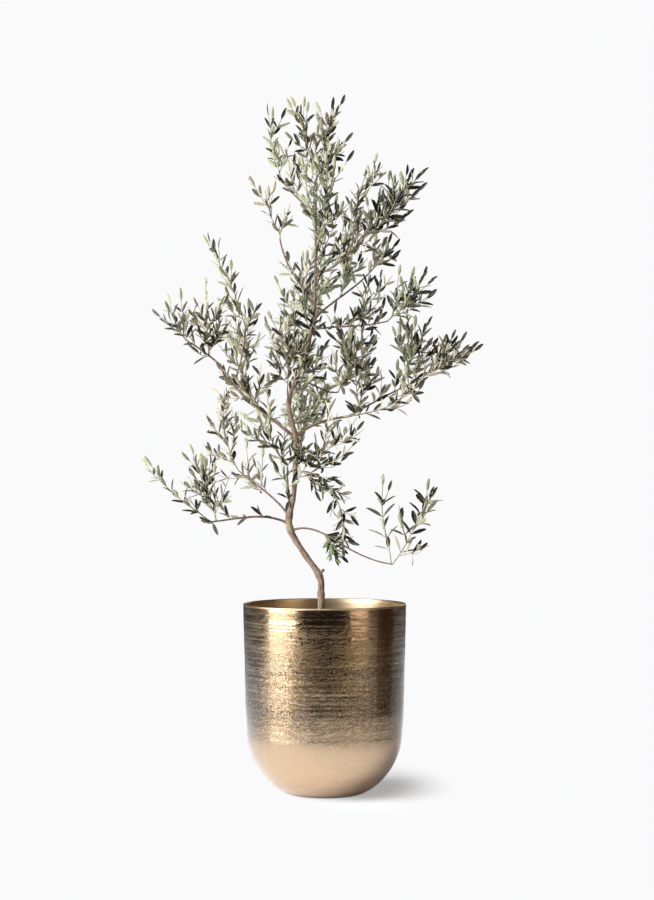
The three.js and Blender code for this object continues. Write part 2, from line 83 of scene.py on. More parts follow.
def in_scene(name, data):
    thing = bpy.data.objects.new(name, data)
    bpy.context.scene.collection.objects.link(thing)
    return thing


def new_object(name, verts, faces, smooth=True):
    mesh = bpy.data.meshes.new(name)
    mesh.from_pydata([tuple(v) for v in verts], [], faces)
    mesh.validate()
    if smooth:
        mesh.shade_smooth()
    return in_scene(name, mesh)


def band(first, count, outward=True):
    """The faces from a ring of `count` corners, from number `first` on, up to the next ring."""
    faces = []
    for step in range(count):
        low, onward = first + step, first + (step + 1) % count
        face = (low, onward, count + onward, count + low)
        faces.append(face if outward else face[:1] + face[:0:-1])
    return faces


def turned(profile, facets, relief=None):
    """A solid turned round the Z axis. The profile starts and ends on the axis."""
    verts = [(0, 0, profile[0][1])]
    for radius, height in profile[1:-1]:
        for step in range(facets):
            turn = 2 * math.pi * step / facets
            out = radius + (relief(turn, radius, height) if relief else 0)
            verts.append((out * math.cos(turn), out * math.sin(turn), height))
    verts.append((0, 0, profile[-1][1]))
    top = len(verts) - 1
    last = top - facets
    faces = []
    for step in range(facets):
        onward = (step + 1) % facets
        faces.append((0, 1 + onward, 1 + step))
        faces.append((last + step, last + onward, top))
    for first in range(1, last, facets):
        faces += band(first, facets)
    return verts, faces


def side_radius(height):
    """The outer radius at a height. The bottom runs softly into the side, without an edge."""
    above_waist = height - waist_height
    soft = waist_hollow * math.exp(-((above_waist / waist_reach) ** 2))
    if above_waist >= 0:
        lean = (planter_rim - planter_waist) / (planter_height - waist_height)
        return planter_waist + lean * above_waist - soft
    fall = 1 - height / waist_height
    out = (1 - fall ** roundness) ** (1 / roundness)
    return planter_foot + (planter_waist - planter_foot) * out - soft


def rounded_bottom(inset, steps):
    """The planter's curve from the edge of its foot up to the waist, moved in by `inset`."""
    curve = []
    for step in range(steps + 1):
        fall = math.cos(step / steps * math.pi / 2)
        height = waist_height * (1 - fall)
        out = (1 - fall ** roundness) ** (1 / roundness)
        moved = inset * (foot_inset_share + (1 - foot_inset_share) * out)
        curve.append((side_radius(height) - moved, height + inset * fall))
    return curve


def planter_side(inset, low, high, rings):
    """The straight side between two heights, moved in by `inset`."""
    heights = [low + (high - low) * ring / rings for ring in range(1, rings)]
    return [(side_radius(z) - inset, z) for z in heights]


# What the spinning tool and the punch leave on the sheet: rings, slow waves and small dents, each
# with its height in mm and how closely it repeats across and upward.
planter_marks = ((0.22, 2, 190), (0.45, 26, 26), (0.16, 120, 150))
plain_lip = 0.003
foot_fade = 0.02
lip_fade = 0.012


def punched(turn, radius, height):
    """The unevenness of the outer face, which fades out at the foot and below the lip."""
    if radius < side_radius(height) - planter_wall / 2:
        return 0
    below_lip = max(0, planter_height - plain_lip - height)
    fade = min(1, height / foot_fade, below_lip / lip_fade)
    x, y = radius * math.cos(turn), radius * math.sin(turn)
    return fade * millimetre * sum(
        high * noise.noise(Vector((x * across, y * across, height * upward)))
        for high, across, upward in planter_marks
    )


# The rim is rolled over to a round lip.
lip = planter_wall / 2
lip_steps = 8
lip_curve = []
for step in range(lip_steps + 1):
    turn = math.pi * step / lip_steps
    lip_curve.append((
        planter_rim - lip + lip * math.cos(turn),
        planter_height - lip + lip * math.sin(turn),
    ))
profile = [(0, 0), (planter_foot / 2, 0)]
profile += rounded_bottom(0, 44)
profile += planter_side(0, waist_height, planter_height - lip, 150)
profile += lip_curve
profile += planter_side(planter_wall, planter_height - lip, waist_height, 30)
profile += reversed(rounded_bottom(planter_wall, 14))
profile += [(0, planter_wall)]
planter = new_object("planter_shell", *turned(profile, planter_facets, punched))


def linear(code):
    """An sRGB hex colour as the linear colour that shaders take."""
    parts = [int(code[i:i + 2], 16) / 255 for i in (1, 3, 5)]
    return [p / 12.92 if p <= 0.04045 else ((p + 0.055) / 1.055) ** 2.4 for p in parts] + [1]


def feed(tree, node, inputs):
    """Sets a node's inputs, each to a value, a socket or another node's first output."""
    for name, value in inputs.items():
        if isinstance(value, bpy.types.Node):
            value = value.outputs[0]
        if isinstance(value, bpy.types.NodeSocket):
            tree.links.new(value, node.inputs[name])
        else:
            node.inputs[name].default_value = value


def add(tree, kind, inputs=None, stops=(), **settings):
    """Adds a node: its settings, its inputs, and where it has a colour ramp its stops, each a
    place and a hex colour or a grey."""
    node = tree.nodes.new(kind)
    for name, value in settings.items():
        setattr(node, name, value)
    feed(tree, node, inputs or {})
    for _ in stops[2:]:
        node.color_ramp.elements.new(0.5)
    for i, (place, colour) in enumerate(stops):
        code = linear(colour) if isinstance(colour, str) else (colour, colour, colour, 1)
        node.color_ramp.elements[i].position = place
        node.color_ramp.elements[i].color = code
    return node


def new_material(name):
    material = bpy.data.materials.new(name)
    material.use_nodes = True
    tree = material.node_tree
    return material, tree, tree.nodes["Principled BSDF"]


# Aged brass plate on hammered sheet: pale warm gold that mirrors the room softly, with dark punch
# marks and thin scribbled lines where the tool skipped. Above the rounded bottom the gold is darker
# and the marks go dark in a band: painted shade for the dark room that the metal mirrors.
brass, tree, shader = new_material("aged_brass_plate")
place = add(tree, "ShaderNodeTexCoord").outputs["Object"]
height = add(tree, "ShaderNodeSeparateXYZ", {0: place}).outputs["Z"]
# Scribbled lines under 1 mm thick and 8 to 30 mm long: where a noise drawn out sideways crosses
# its middle value.
level = add(tree, "ShaderNodeMapping", {"Vector": place, "Scale": (48, 48, 190)})
drawn = add(tree, "ShaderNodeTexNoise", {
    "Vector": level, "Scale": 1, "Detail": 6, "Roughness": 0.66,
})
edge = add(tree, "ShaderNodeMath", {0: drawn, 1: 0.5}, operation="SUBTRACT")
edge = add(tree, "ShaderNodeMath", {0: edge}, operation="ABSOLUTE")
lines = add(tree, "ShaderNodeValToRGB", {0: edge}, [(0.0, 1.0), (0.02, 0.9), (0.038, 0.0)])
# Level bands about 24 mm high where the patina was wiped back.
wide = add(tree, "ShaderNodeMapping", {"Vector": place, "Scale": (1.3, 1.3, 42)})
clouds = add(tree, "ShaderNodeTexNoise", {"Vector": wide, "Scale": 1, "Detail": 5})
cloudy = add(tree, "ShaderNodeValToRGB", {0: clouds}, [(0.36, 0.15), (0.52, 1.0)])
# Punch marks 6 mm wide and 4 mm high, each a shallow dent with a dark edge.
squat = add(tree, "ShaderNodeMapping", {"Vector": place, "Scale": (165, 165, 250)})
marks = add(tree, "ShaderNodeTexVoronoi", {
    "Vector": squat, "Scale": 1, "Randomness": 0.9,
}, feature="DISTANCE_TO_EDGE")
pits = add(tree, "ShaderNodeValToRGB", {0: marks}, [(0.0, 1.0), (0.09, 0.8), (0.17, 0.0)])
# The painted shade band starts 92 mm up, is full from 190 mm, and thins towards the rim.
rise = add(tree, "ShaderNodeMapRange", {
    "Value": height, "From Min": 0.092, "From Max": 0.190,
}, interpolation_type="SMOOTHSTEP")
thin = add(tree, "ShaderNodeMapRange", {
    "Value": height, "From Min": 0.29, "From Max": 0.40, "To Min": 1, "To Max": 0.2,
})
painted_shade_band = add(tree, "ShaderNodeMath", {0: rise, 1: thin}, operation="MULTIPLY")
faint = add(tree, "ShaderNodeMath", {0: painted_shade_band, 1: 0.12}, operation="MAXIMUM")
scribble = add(tree, "ShaderNodeMath", {0: lines, 1: faint}, operation="MULTIPLY")
# Punch marks, darkened only in the painted shade band.
dark_marks_and_shade = add(tree, "ShaderNodeMath", {0: pits, 1: cloudy}, operation="MULTIPLY")
dark_marks_and_shade = add(tree, "ShaderNodeMath", {0: dark_marks_and_shade, 1: painted_shade_band}, operation="MULTIPLY")
dark = add(tree, "ShaderNodeMath", {0: scribble, 1: dark_marks_and_shade}, operation="MAXIMUM")
dark = add(tree, "ShaderNodeMath", {0: dark, 1: 0.95}, operation="MULTIPLY")
# Pale gold on the bottom and darker above it: painted shade.
gold = add(tree, "ShaderNodeMix", {
    0: rise, 6: linear("#C3A98A"), 7: linear("#A68E6D"),
}, data_type="RGBA").outputs[2]
colour = add(tree, "ShaderNodeMix", {0: dark, 6: gold, 7: linear("#372713")}, data_type="RGBA")
deep = add(tree, "ShaderNodeMath", {0: pits, 1: painted_shade_band}, operation="MULTIPLY")
deep = add(tree, "ShaderNodeMath", {0: deep, 1: scribble}, operation="ADD")
feed(tree, shader, {
    "Base Color": colour.outputs[2], "Metallic": 1,
    "Roughness": add(tree, "ShaderNodeValToRGB", {0: clouds}, [(0.3, 0.12), (0.7, 0.18)]),
    "Coat Weight": 1.0, "Coat Roughness": 0.12,
    "Normal": add(tree, "ShaderNodeBump", {
        "Height": deep, "Strength": 0.28, "Distance": 0.0005,
    }, invert=True),
})

# The same plate inside the pot, only brushed: smooth pale gold with faint lines 4 mm apart.
brushed, tree, shader = new_material("brushed_brass_plate")
place = add(tree, "ShaderNodeTexCoord").outputs["Object"]
level = add(tree, "ShaderNodeMapping", {"Vector": place, "Scale": (6, 6, 260)})
lines = add(tree, "ShaderNodeTexNoise", {"Vector": level, "Scale": 1, "Detail": 3})
feed(tree, shader, {
    "Base Color": add(tree, "ShaderNodeValToRGB", {0: lines}, [(0.3, "#B09A78"), (0.7, "#C6B294")]),
    "Metallic": 1, "Roughness": 0.38,
    "Normal": add(tree, "ShaderNodeBump", {"Height": lines, "Strength": 0.2, "Distance": 0.0003}),
})

# The inner face and the top of the lip are brushed.
planter.data.materials.append(brass)
planter.data.materials.append(brushed)
for face in planter.data.polygons:
    x, y, z = face.center
    depth = side_radius(z) - math.hypot(x, y)
    inside = depth > planter_wall * 0.6 and z > planter_wall / 2
    if inside or z > planter_height - planter_wall:
        face.material_index = 1
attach(planter, "root")
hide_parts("planter")

# Potting soil
# Damp peat compost that fills the pot to 58 mm below the rim. It is poured in and pressed down
# by hand, so its top is uneven, with loose crumbs on it.
soil_top = 0.374
soil_inset = planter_wall + 0.0003
soil_edge = side_radius(soil_top) - soil_inset
soil_edge_drop = 0.004
soil_rings = 60
soil_facets = 160
# The humps of its top, each with its height in metres and how closely it repeats. The whole is
# sunk by about as much as they rise.
soil_humps = ((0.0030, 18), (0.0016, 70), (0.0008, 240))
soil_sunk = 0.0022


def soil_relief(x, y):
    place = Vector((x, y, 0))
    return sum(high * noise.noise(place * often) for high, often in soil_humps) - soil_sunk


profile = [(0, soil_inset)] + rounded_bottom(soil_inset, 8)
profile += planter_side(soil_inset, waist_height, soil_top - soil_edge_drop, 4)
profile += [(soil_edge, soil_top - soil_edge_drop)]
profile += [(soil_edge * (1 - ring / soil_rings), soil_top) for ring in range(1, soil_rings)]
profile += [(0, soil_top)]
soil_verts, soil_faces = turned(profile, soil_facets)
soil_verts = [
    (x, y, z + soil_relief(x, y)) if z == soil_top else (x, y, z) for x, y, z in soil_verts
]
soil = new_object("soil_bed", soil_verts, soil_faces)

# Damp compost: near-black brown in clumps of 6 mm, with paler fibres and hardly any shine.
compost, tree, shader = new_material("damp_compost")
place = add(tree, "ShaderNodeTexCoord").outputs["Object"]
coarse = add(tree, "ShaderNodeTexNoise", {"Vector": place, "Scale": 160, "Detail": 6})
feed(tree, shader, {
    "Base Color": add(tree, "ShaderNodeValToRGB", {0: coarse}, [
        (0.3, "#1F1711"), (0.5, "#3A2C20"), (0.75, "#6A533C"),
    ]),
    "Roughness": 0.92,
    "Normal": add(tree, "ShaderNodeBump", {"Height": coarse, "Strength": 0.8, "Distance": 0.0015}),
})
soil.data.materials.append(compost)
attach(soil, "root")
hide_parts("soil")


def grower(name, inputs):
    """A node group that takes a geometry and named inputs, each of a kind and with a value."""
    group = bpy.data.node_groups.new(name, "GeometryNodeTree")
    sockets = group.interface
    sockets.new_socket("Geometry", in_out="INPUT", socket_type="NodeSocketGeometry")
    for label, (kind, value) in inputs.items():
        socket = sockets.new_socket(label, in_out="INPUT", socket_type="NodeSocket" + kind)
        if value is not None:
            socket.default_value = value
    sockets.new_socket("Geometry", in_out="OUTPUT", socket_type="NodeSocketGeometry")
    return group, add(group, "NodeGroupInput").outputs


def hand_out(group, geometry, material, upper=None, upper_material=None):
    """Ends a group: makes its instances real and sets their material, or one for each side."""
    real = add(group, "GeometryNodeRealizeInstances", {"Geometry": geometry})
    painted = add(group, "GeometryNodeSetMaterial", {"Geometry": real, "Material": material})
    if upper:
        painted = add(group, "GeometryNodeSetMaterial", {
            "Geometry": painted, "Selection": upper, "Material": upper_material,
        })
    add(group, "NodeGroupOutput", {"Geometry": painted})


def grown(name, base, group, values):
    """The plain mesh that a node group makes from a base object, which is then removed."""
    modifier = base.modifiers.new("grow", "NODES")
    modifier.node_group = group
    for item in group.interface.items_tree:
        if item.in_out == "INPUT" and item.name in values:
            modifier[item.identifier] = values[item.name]
    graph = bpy.context.evaluated_depsgraph_get()
    mesh = bpy.data.meshes.new_from_object(base.evaluated_get(graph), depsgraph=graph)
    bpy.data.objects.remove(base)
    mesh.name = name
    return in_scene(name, mesh)


# Loose crumbs, 2 to 7 mm across, scattered over the soil by Geometry Nodes. Each is turned any
# way and squashed a little.
crumbs_per_square_metre = 9000.0
whole_turns = (6.28, 6.28, 6.28)
group, given = grower("soil_crumbs", {
    "Crumbs per square metre": ("Float", crumbs_per_square_metre),
    "Smallest": ("Float", 0.0010), "Largest": ("Float", 0.0034),
})
spread = add(group, "GeometryNodeDistributePointsOnFaces", {
    "Mesh": given["Geometry"], "Density": given["Crumbs per square metre"], "Seed": 7,
})
crumb = add(group, "GeometryNodeMeshIcoSphere", {"Radius": 1.0, "Subdivisions": 1})
size = add(group, "FunctionNodeRandomValue", {
    2: given["Smallest"], 3: given["Largest"], "Seed": 3,
}, data_type="FLOAT")
turn = add(group, "FunctionNodeRandomValue", {
    1: whole_turns, "Seed": 5,
}, data_type="FLOAT_VECTOR")
squat = add(group, "FunctionNodeRandomValue", {
    0: (0.6, 0.6, 0.45), 1: (1.2, 1.0, 0.8), "Seed": 9,
}, data_type="FLOAT_VECTOR")
scale = add(group, "ShaderNodeVectorMath", {
    0: squat, "Scale": size.outputs[1],
}, operation="SCALE")
placed = add(group, "GeometryNodeInstanceOnPoints", {
    "Points": spread, "Instance": crumb, "Rotation": turn, "Scale": scale,
})
hand_out(group, placed, compost)

# They lie on a disc that ends 5 mm short of the soil's edge and is removed afterwards.
disc_edge = soil_edge - 0.005
disc_rings = 24
disc_facets = 64
disc_verts = [(0, 0, soil_top + soil_relief(0, 0))]
for ring in range(1, disc_rings + 1):
    out = disc_edge * ring / disc_rings
    for step in range(disc_facets):
        turn = 2 * math.pi * step / disc_facets
        x, y = out * math.cos(turn), out * math.sin(turn)
        disc_verts.append((x, y, soil_top + soil_relief(x, y)))
disc_faces = [(0, 1 + step, 1 + (step + 1) % disc_facets) for step in range(disc_facets)]
for ring in range(disc_rings - 1):
    disc_faces += band(1 + ring * disc_facets, disc_facets, outward=False)
disc = new_object("crumb_bed", disc_verts, disc_faces)
crumbs = grown("soil_crumbs", disc, group, {
    "Crumbs per square metre": crumbs_per_square_metre,
})
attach(crumbs, "root")

# Trunk and boughs
# The young tree's wood: a slender kinked trunk, flared where it leaves the soil, and boughs that
# swell where they join it. Smooth grey-brown bark with fine long wrinkles, buds' scars and knots.
trunk_knees = [
    (-9, 0, 374.3), (-8, 0, 457), (-13, 2, 496), (-50, 6, 550), (-81, 6, 610), (-70, 0, 682),
    (-65, -6, 797), (-82, -3, 887), (-60, 4, 952), (-36, 6, 1022), (-23, 0, 1120),
]
trunk_girth = (15.5, 7.4)
flare_girth = 9
flare_height = 16

# A bough's parent, where it leaves it (mm up on the trunk, a share of the length on a bough), its
# bearing in plan, reach and rise in mm, its slopes at both ends, and its girth there in mm.
bough_sizes = {
    "low_left_bough": ("trunk", 612, 203, 190, 7, 28, -4, 5.5, 3.4),
    "left_diagonal_bough": ("trunk", 629, 147, 140, 103, 50, 35, 5, 3),
    "inner_upright_bough": ("trunk", 645, 263, 59, 101, 45, 85, 4, 2.8),
    "low_right_bough": ("trunk", 596, 341, 127, -32, 25, -32, 4.6, 3.4),
    "low_right_outer_bough": ("low_right_bough", 1, 344, 113, -40, -28, -6, 3.4, 2.8),
    "left_bough": ("trunk", 806, 188, 171, 164, 42, 62, 8, 5),
    "far_left_bough": ("left_bough", 1, 208, 86, 56, 42, 28, 4.6, 3),
    "left_rising_bough": ("left_bough", 0.78, 60, 50, 129, 60, 88, 4, 2.8),
    "right_bough": ("trunk", 809, 7, 124, 48, 45, 8, 7, 5),
    "right_high_bough": ("right_bough", 1, 13, 160, 81, 30, 22, 4.6, 3),
    "mid_right_bough": ("trunk", 1053, 334, 191, 15, 8, 12, 4.6, 3),
    "upper_right_bough": ("trunk", 1071, 26, 152, 123, 48, 48, 5.5, 3.2),
    "upper_left_bough": ("trunk", 1108, 211, 89, 148, 52, 80, 5, 3.2),
    "leader": ("trunk", 1122, 65, 11, 269, 84, 84, 7, 3.8),
    "crown_right_bough": ("leader", 0.2, 337, 113, 86, 22, 62, 4.8, 3.2),
    "crown_left_bough": ("leader", 0.72, 154, 90, 89, 45, 55, 3.8, 2.8),
    "front_left_bough": ("trunk", 888, 270, 158, 30, 20, 35, 4.4, 3),
    "back_left_bough": ("trunk", 978, 98, 150, 70, 25, 45, 4.4, 3),
    "back_right_bough": ("trunk", 933, 52, 161, -18, 15, 10, 4.4, 3),
}
path_steps = 24
trunk_steps = 60
slope_reach = 0.35
tangent_reach = 1e-4
exact_enough = 1e-9
up = Vector((0, 0, 1))


def mix(low, high, share):
    return low + (high - low) * share


def heading(bearing, slope):
    """A direction from its bearing in plan and its slope above the level, in degrees."""
    turn, lift = math.radians(bearing), math.radians(slope)
    level = math.cos(lift)
    return Vector((level * math.cos(turn), level * math.sin(turn), math.sin(lift)))


def outward(side, across, turn):
    """The direction at an angle round a line."""
    return side * math.cos(turn) + across * math.sin(turn)


def framed(points, tangents):
    """Points with the directions along and across, carried on without twist."""
    frames = []
    side = None
    for point, along in zip(points, tangents):
        if side is None:
            side = up if abs(along.z) < 0.9 else Vector((1, 0, 0))
        side = (side - along * side.dot(along)).normalized()
        frames.append((point, along, side, side.cross(along)))
    return frames


def path_length(points):
    return sum((b - a).length for a, b in zip(points, points[1:]))


class Limb:
    """A centre line with a girth at each end: a curve from share 0 to 1, with frames along it."""

    def __init__(self, at, girth, steps=path_steps):
        self.at = at
        self.girth = girth
        shares = [step / steps for step in range(steps + 1)]
        self.frames = framed([at(share) for share in shares], map(self.tangent, shares))
        self.length = path_length([frame[0] for frame in self.frames])

    def tangent(self, share):
        low, high = max(0, share - tangent_reach), min(1, share + tangent_reach)
        return (self.at(high) - self.at(low)).normalized()

    def radius(self, share):
        return mix(*self.girth, share) / 2


def trunk_line(share):
    """A smooth curve through the trunk's knees."""
    knees = [Vector(knee) * millimetre for knee in trunk_knees]
    last = len(knees) - 1
    place = min(share, 1) * last
    i = min(math.floor(place), last - 1)
    w = place - i
    before = knees[i - 1] if i > 0 else knees[0] * 2 - knees[1]
    after = knees[i + 2] if i + 2 <= last else knees[last] * 2 - knees[last - 1]
    a, b = knees[i], knees[i + 1]
    return (
        a * 2 + (b - before) * w + (before * 2 - a * 5 + b * 4 - after) * w * w
        + (a * 3 - before - b * 3 + after) * w ** 3
    ) / 2


def share_at_height(limb, height):
    """The share of a rising limb at which it reaches a height, by halving."""
    low, high = 0.0, 1.0
    while high - low > exact_enough:
        middle = (low + high) / 2
        if limb.at(middle).z < height:
            low = middle
        else:
            high = middle
    return low


def bent(a, b, c, d):
    """A curve from a to d that sets off towards b and arrives from c."""
    return lambda t: (
        a * (1 - t) ** 3 + b * 3 * (1 - t) ** 2 * t + c * 3 * (1 - t) * t * t + d * t ** 3
    )


def grow_limb(sizes, girth, short=0):
    """A limb worked out from its sizes and its parent; `short` is taken off its far end."""
    on, at, bearing, reach, rise, leave, arrive = sizes[:7]
    parent = limbs[on]
    share = share_at_height(parent, at * millimetre) if on == "trunk" else at
    start = parent.at(share)
    chord = (heading(bearing, 0) * reach + up * rise) * millimetre
    chord = chord.normalized() * (chord.length - short)
    pull = chord.length * slope_reach
    end = start + chord
    leaving = start + heading(bearing, leave) * pull
    arriving = end - heading(bearing, arrive) * pull
    limb = Limb(bent(start, leaving, arriving, end), girth)
    limb.parent = parent
    limb.parent_share = share
    return limb


trunk = Limb(trunk_line, [g * millimetre for g in trunk_girth], trunk_steps)
limbs = {"trunk": trunk}
for name, sizes in bough_sizes.items():
    limbs[name] = grow_limb(sizes, [g * millimetre for g in sizes[7:9]])

# Swellings on the trunk: height, how far each reaches along it, and its extra radius, in mm.
trunk_knots = [
    (389, 5, 0.7), (452, 7, 1.3), (497, 9, 1.9), (540, 6, 0.8), (575, 6, 0.8), (604, 17, 2.7),
    (629, 10, 1.8), (668, 5, 0.7), (706, 6, 0.9), (748, 7, 1.0), (807, 15, 2.0), (842, 5, 0.8),
    (888, 10, 1.3), (935, 8, 0.9), (978, 8, 0.9), (1020, 6, 0.7), (1055, 9, 1.1), (1072, 8, 1.0),
    (1108, 9, 1.0),
]
# A bough is half as thick again where it leaves its parent, and has an old bud every 31 mm.
collar_share = 0.55
collar_reach = 0.006
bud_share = 0.13
bud_pitch = 0.031


def trunk_radius(share, height):
    above = (height - trunk_knees[0][2] * millimetre) / millimetre
    radius = trunk.radius(share) / millimetre + flare_girth / 2 * math.exp(-above / flare_height)
    for centre, reach, extra in trunk_knots:
        radius += extra * math.exp(-(((height / millimetre - centre) / reach) ** 2))
    return radius * millimetre


def bough_radius(limb, share):
    """Tapering, with a collar where it leaves its parent and a swelling at every old bud."""
    run = share * limb.length - limb.parent.radius(limb.parent_share)
    collar = collar_share * math.exp(-max(run, 0) / collar_reach)
    bud = bud_share * max(0, math.cos(run / bud_pitch * 2 * math.pi)) ** 8
    return limb.radius(share) * (1 + collar + bud)


# The bark's relief: lumps and long wrinkles as shares of the radius, each with how closely it
# repeats around and along, and pores in metres, where a third noise is over a level.
bark_lumps = (0.10, 90, 45)
bark_wrinkles = (0.055, 900, 70)
pore_height = 0.0006
pore_spread = 420
pore_level = 0.35
# The end is rounded off by two smaller rings, at these shares of a turn of 80 degrees.
end_rings = (0.6, 0.95)
end_turn = 1.4
# The bark's age runs from this to 1 on a limb of this radius.
least_age = 0.15
grown_radius = 0.0075
bark_verts, bark_faces, bark_grain, bark_age = [], [], [], []


def add_bark(limb, radius_at, sides, pitch, seed, end_age=0.3):
    """Rings of bark round a limb with long wrinkles, lumps and a rounded end."""
    rings = max(8, round(limb.length / pitch))
    frames = Limb(limb.at, limb.girth, rings).frames
    first = len(bark_verts)
    turns = [2 * math.pi * corner / sides for corner in range(sides)]
    run = 0.0
    for ring, (point, along, side, across) in enumerate(frames):
        if ring:
            run += (point - frames[ring - 1][0]).length
        radius = radius_at(ring / rings, point)
        for turn in turns:
            around = Vector((math.cos(turn) * radius, math.sin(turn) * radius, run))
            around += Vector((seed, 0, 0))
            bulge = 0
            for share, often, lengthwise in (bark_lumps, bark_wrinkles):
                place = Vector((around.x * often, around.y * often, run * lengthwise))
                bulge += radius * share * noise.noise(place)
            bulge += pore_height * max(0, noise.noise(around * pore_spread) - pore_level)
            bark_verts.append(point + outward(side, across, turn) * (radius + bulge))
            bark_grain.append(around)
            bark_age.append(min(1, least_age + radius / grown_radius))
    for share in end_rings:
        for turn in turns:
            out = outward(side, across, turn)
            bark_verts.append(point + outward(out, along, share * end_turn) * radius)
            bark_grain.append(bark_grain[-sides])
            bark_age.append(end_age)
    last = len(bark_verts) - sides
    for low in range(first, last, sides):
        bark_faces.extend(band(low, sides, outward=False))
    bark_faces.append(tuple(range(last + sides - 1, last - 1, -1)))
    bark_faces.append(tuple(range(first, first + sides)))


add_bark(trunk, lambda share, point: trunk_radius(share, point.z), 28, 0.0016, 0)
for index, name in enumerate(bough_sizes):
    limb = limbs[name]
    add_bark(limb, lambda share, point: bough_radius(limb, share), 14, 0.0022, 0.3 + index * 0.07)

# Short stubs where side shoots were cut off, their ends gone black: height on the trunk, bearing,
# slope, length and girth in mm.
stubs = (
    (499, 345, 35, 13.5, 9), (452, 205, 35, 9, 6), (706, 30, 40, 10, 6), (842, 180, 30, 9, 6),
    (604, 100, 25, 13, 7),
)
stub_taper = 0.85
for index, (height, bearing, slope, length, girth) in enumerate(stubs):
    start = trunk.at(share_at_height(trunk, height * millimetre))
    reach = heading(bearing, slope) * length * millimetre
    width = (girth * millimetre, stub_taper * girth * millimetre)
    stub = Limb(lambda t: start + reach * t, width)
    add_bark(stub, lambda share, point: stub.radius(share), 12, 0.0012, 3 + index, 0.0)

bark_piece = new_object("bark_of_trunk_and_boughs", bark_verts, bark_faces)
for name, kind, field, values in (
    ("grain", "FLOAT_VECTOR", "vector", np.array(bark_grain, dtype=np.float32).ravel()),
    ("age", "FLOAT", "value", bark_age),
):
    layer = bark_piece.data.attributes.new(name, kind, "POINT")
    layer.data.foreach_set(field, values)

# Young olive bark: matte mauve-brown skin, greyer in streaks 2 mm wide and 20 mm long, with small
# pale pores 4 mm apart. Thin boughs are redder and darker than the trunk, and the knot at the fork
# has a grey-green crust.
bark, tree, shader = new_material("young_olive_bark")
place = add(tree, "ShaderNodeTexCoord").outputs["Object"]
along = add(tree, "ShaderNodeAttribute", attribute_name="grain").outputs["Vector"]
years = add(tree, "ShaderNodeAttribute", attribute_name="age").outputs["Fac"]
long = add(tree, "ShaderNodeMapping", {"Vector": along, "Scale": (1, 1, 0.12)})
streak = add(tree, "ShaderNodeTexNoise", {"Vector": long, "Scale": 420, "Detail": 5})
blotch = add(tree, "ShaderNodeTexNoise", {"Vector": along, "Scale": 55, "Detail": 3})
pores = add(tree, "ShaderNodeTexVoronoi", {"Vector": along, "Scale": 260})
fork = (-0.080, -0.006, 0.611)
from_fork = add(tree, "ShaderNodeVectorMath", {0: place, 1: fork}, operation="DISTANCE")
skin = add(tree, "ShaderNodeValToRGB", {0: streak}, [
    (0.32, "#4F3B31"), (0.5, "#83695B"), (0.68, "#A89081"),
])
young = add(tree, "ShaderNodeValToRGB", {0: years}, [
    (0.0, "#17120F"), (0.12, "#56423A"), (0.5, "#755D52"),
])
grey = add(tree, "ShaderNodeValToRGB", {0: blotch}, [(0.4, 0.0), (0.75, 0.8)])
old = add(tree, "ShaderNodeMapRange", {"Value": years, "From Min": 0.4, "From Max": 0.95})
crust = add(tree, "ShaderNodeMapRange", {
    "Value": from_fork.outputs["Value"], "From Min": 0.007, "From Max": 0.019,
    "To Min": 0.75, "To Max": 0,
})
pale = add(tree, "ShaderNodeValToRGB", {0: pores}, [(0.08, 0.6), (0.16, 0.0)])
skin = add(tree, "ShaderNodeMix", {
    0: grey, 6: skin, 7: linear("#93826F"),
}, data_type="RGBA").outputs[2]
skin = add(tree, "ShaderNodeMix", {0: old, 6: young, 7: skin}, data_type="RGBA").outputs[2]
for share, code in ((crust, "#A09A7C"), (pale, "#B3A08D")):
    skin = add(tree, "ShaderNodeMix", {
        0: share, 6: skin, 7: linear(code),
    }, data_type="RGBA").outputs[2]
feed(tree, shader, {
    "Base Color": skin, "Roughness": 0.82,
    "Normal": add(tree, "ShaderNodeBump", {"Height": streak, "Strength": 0.7, "Distance": 0.0005}),
})
bark_piece.data.materials.append(bark)
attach(bark_piece, "root")
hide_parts("trunk", *bough_sizes)

# Twigs
# The thin stems and shoots that carry the leaves, 1 to 4 mm thick. Each spray has one stem that
# goes on from its bough, shoots that turn round it one after another, and finer twigs on those.

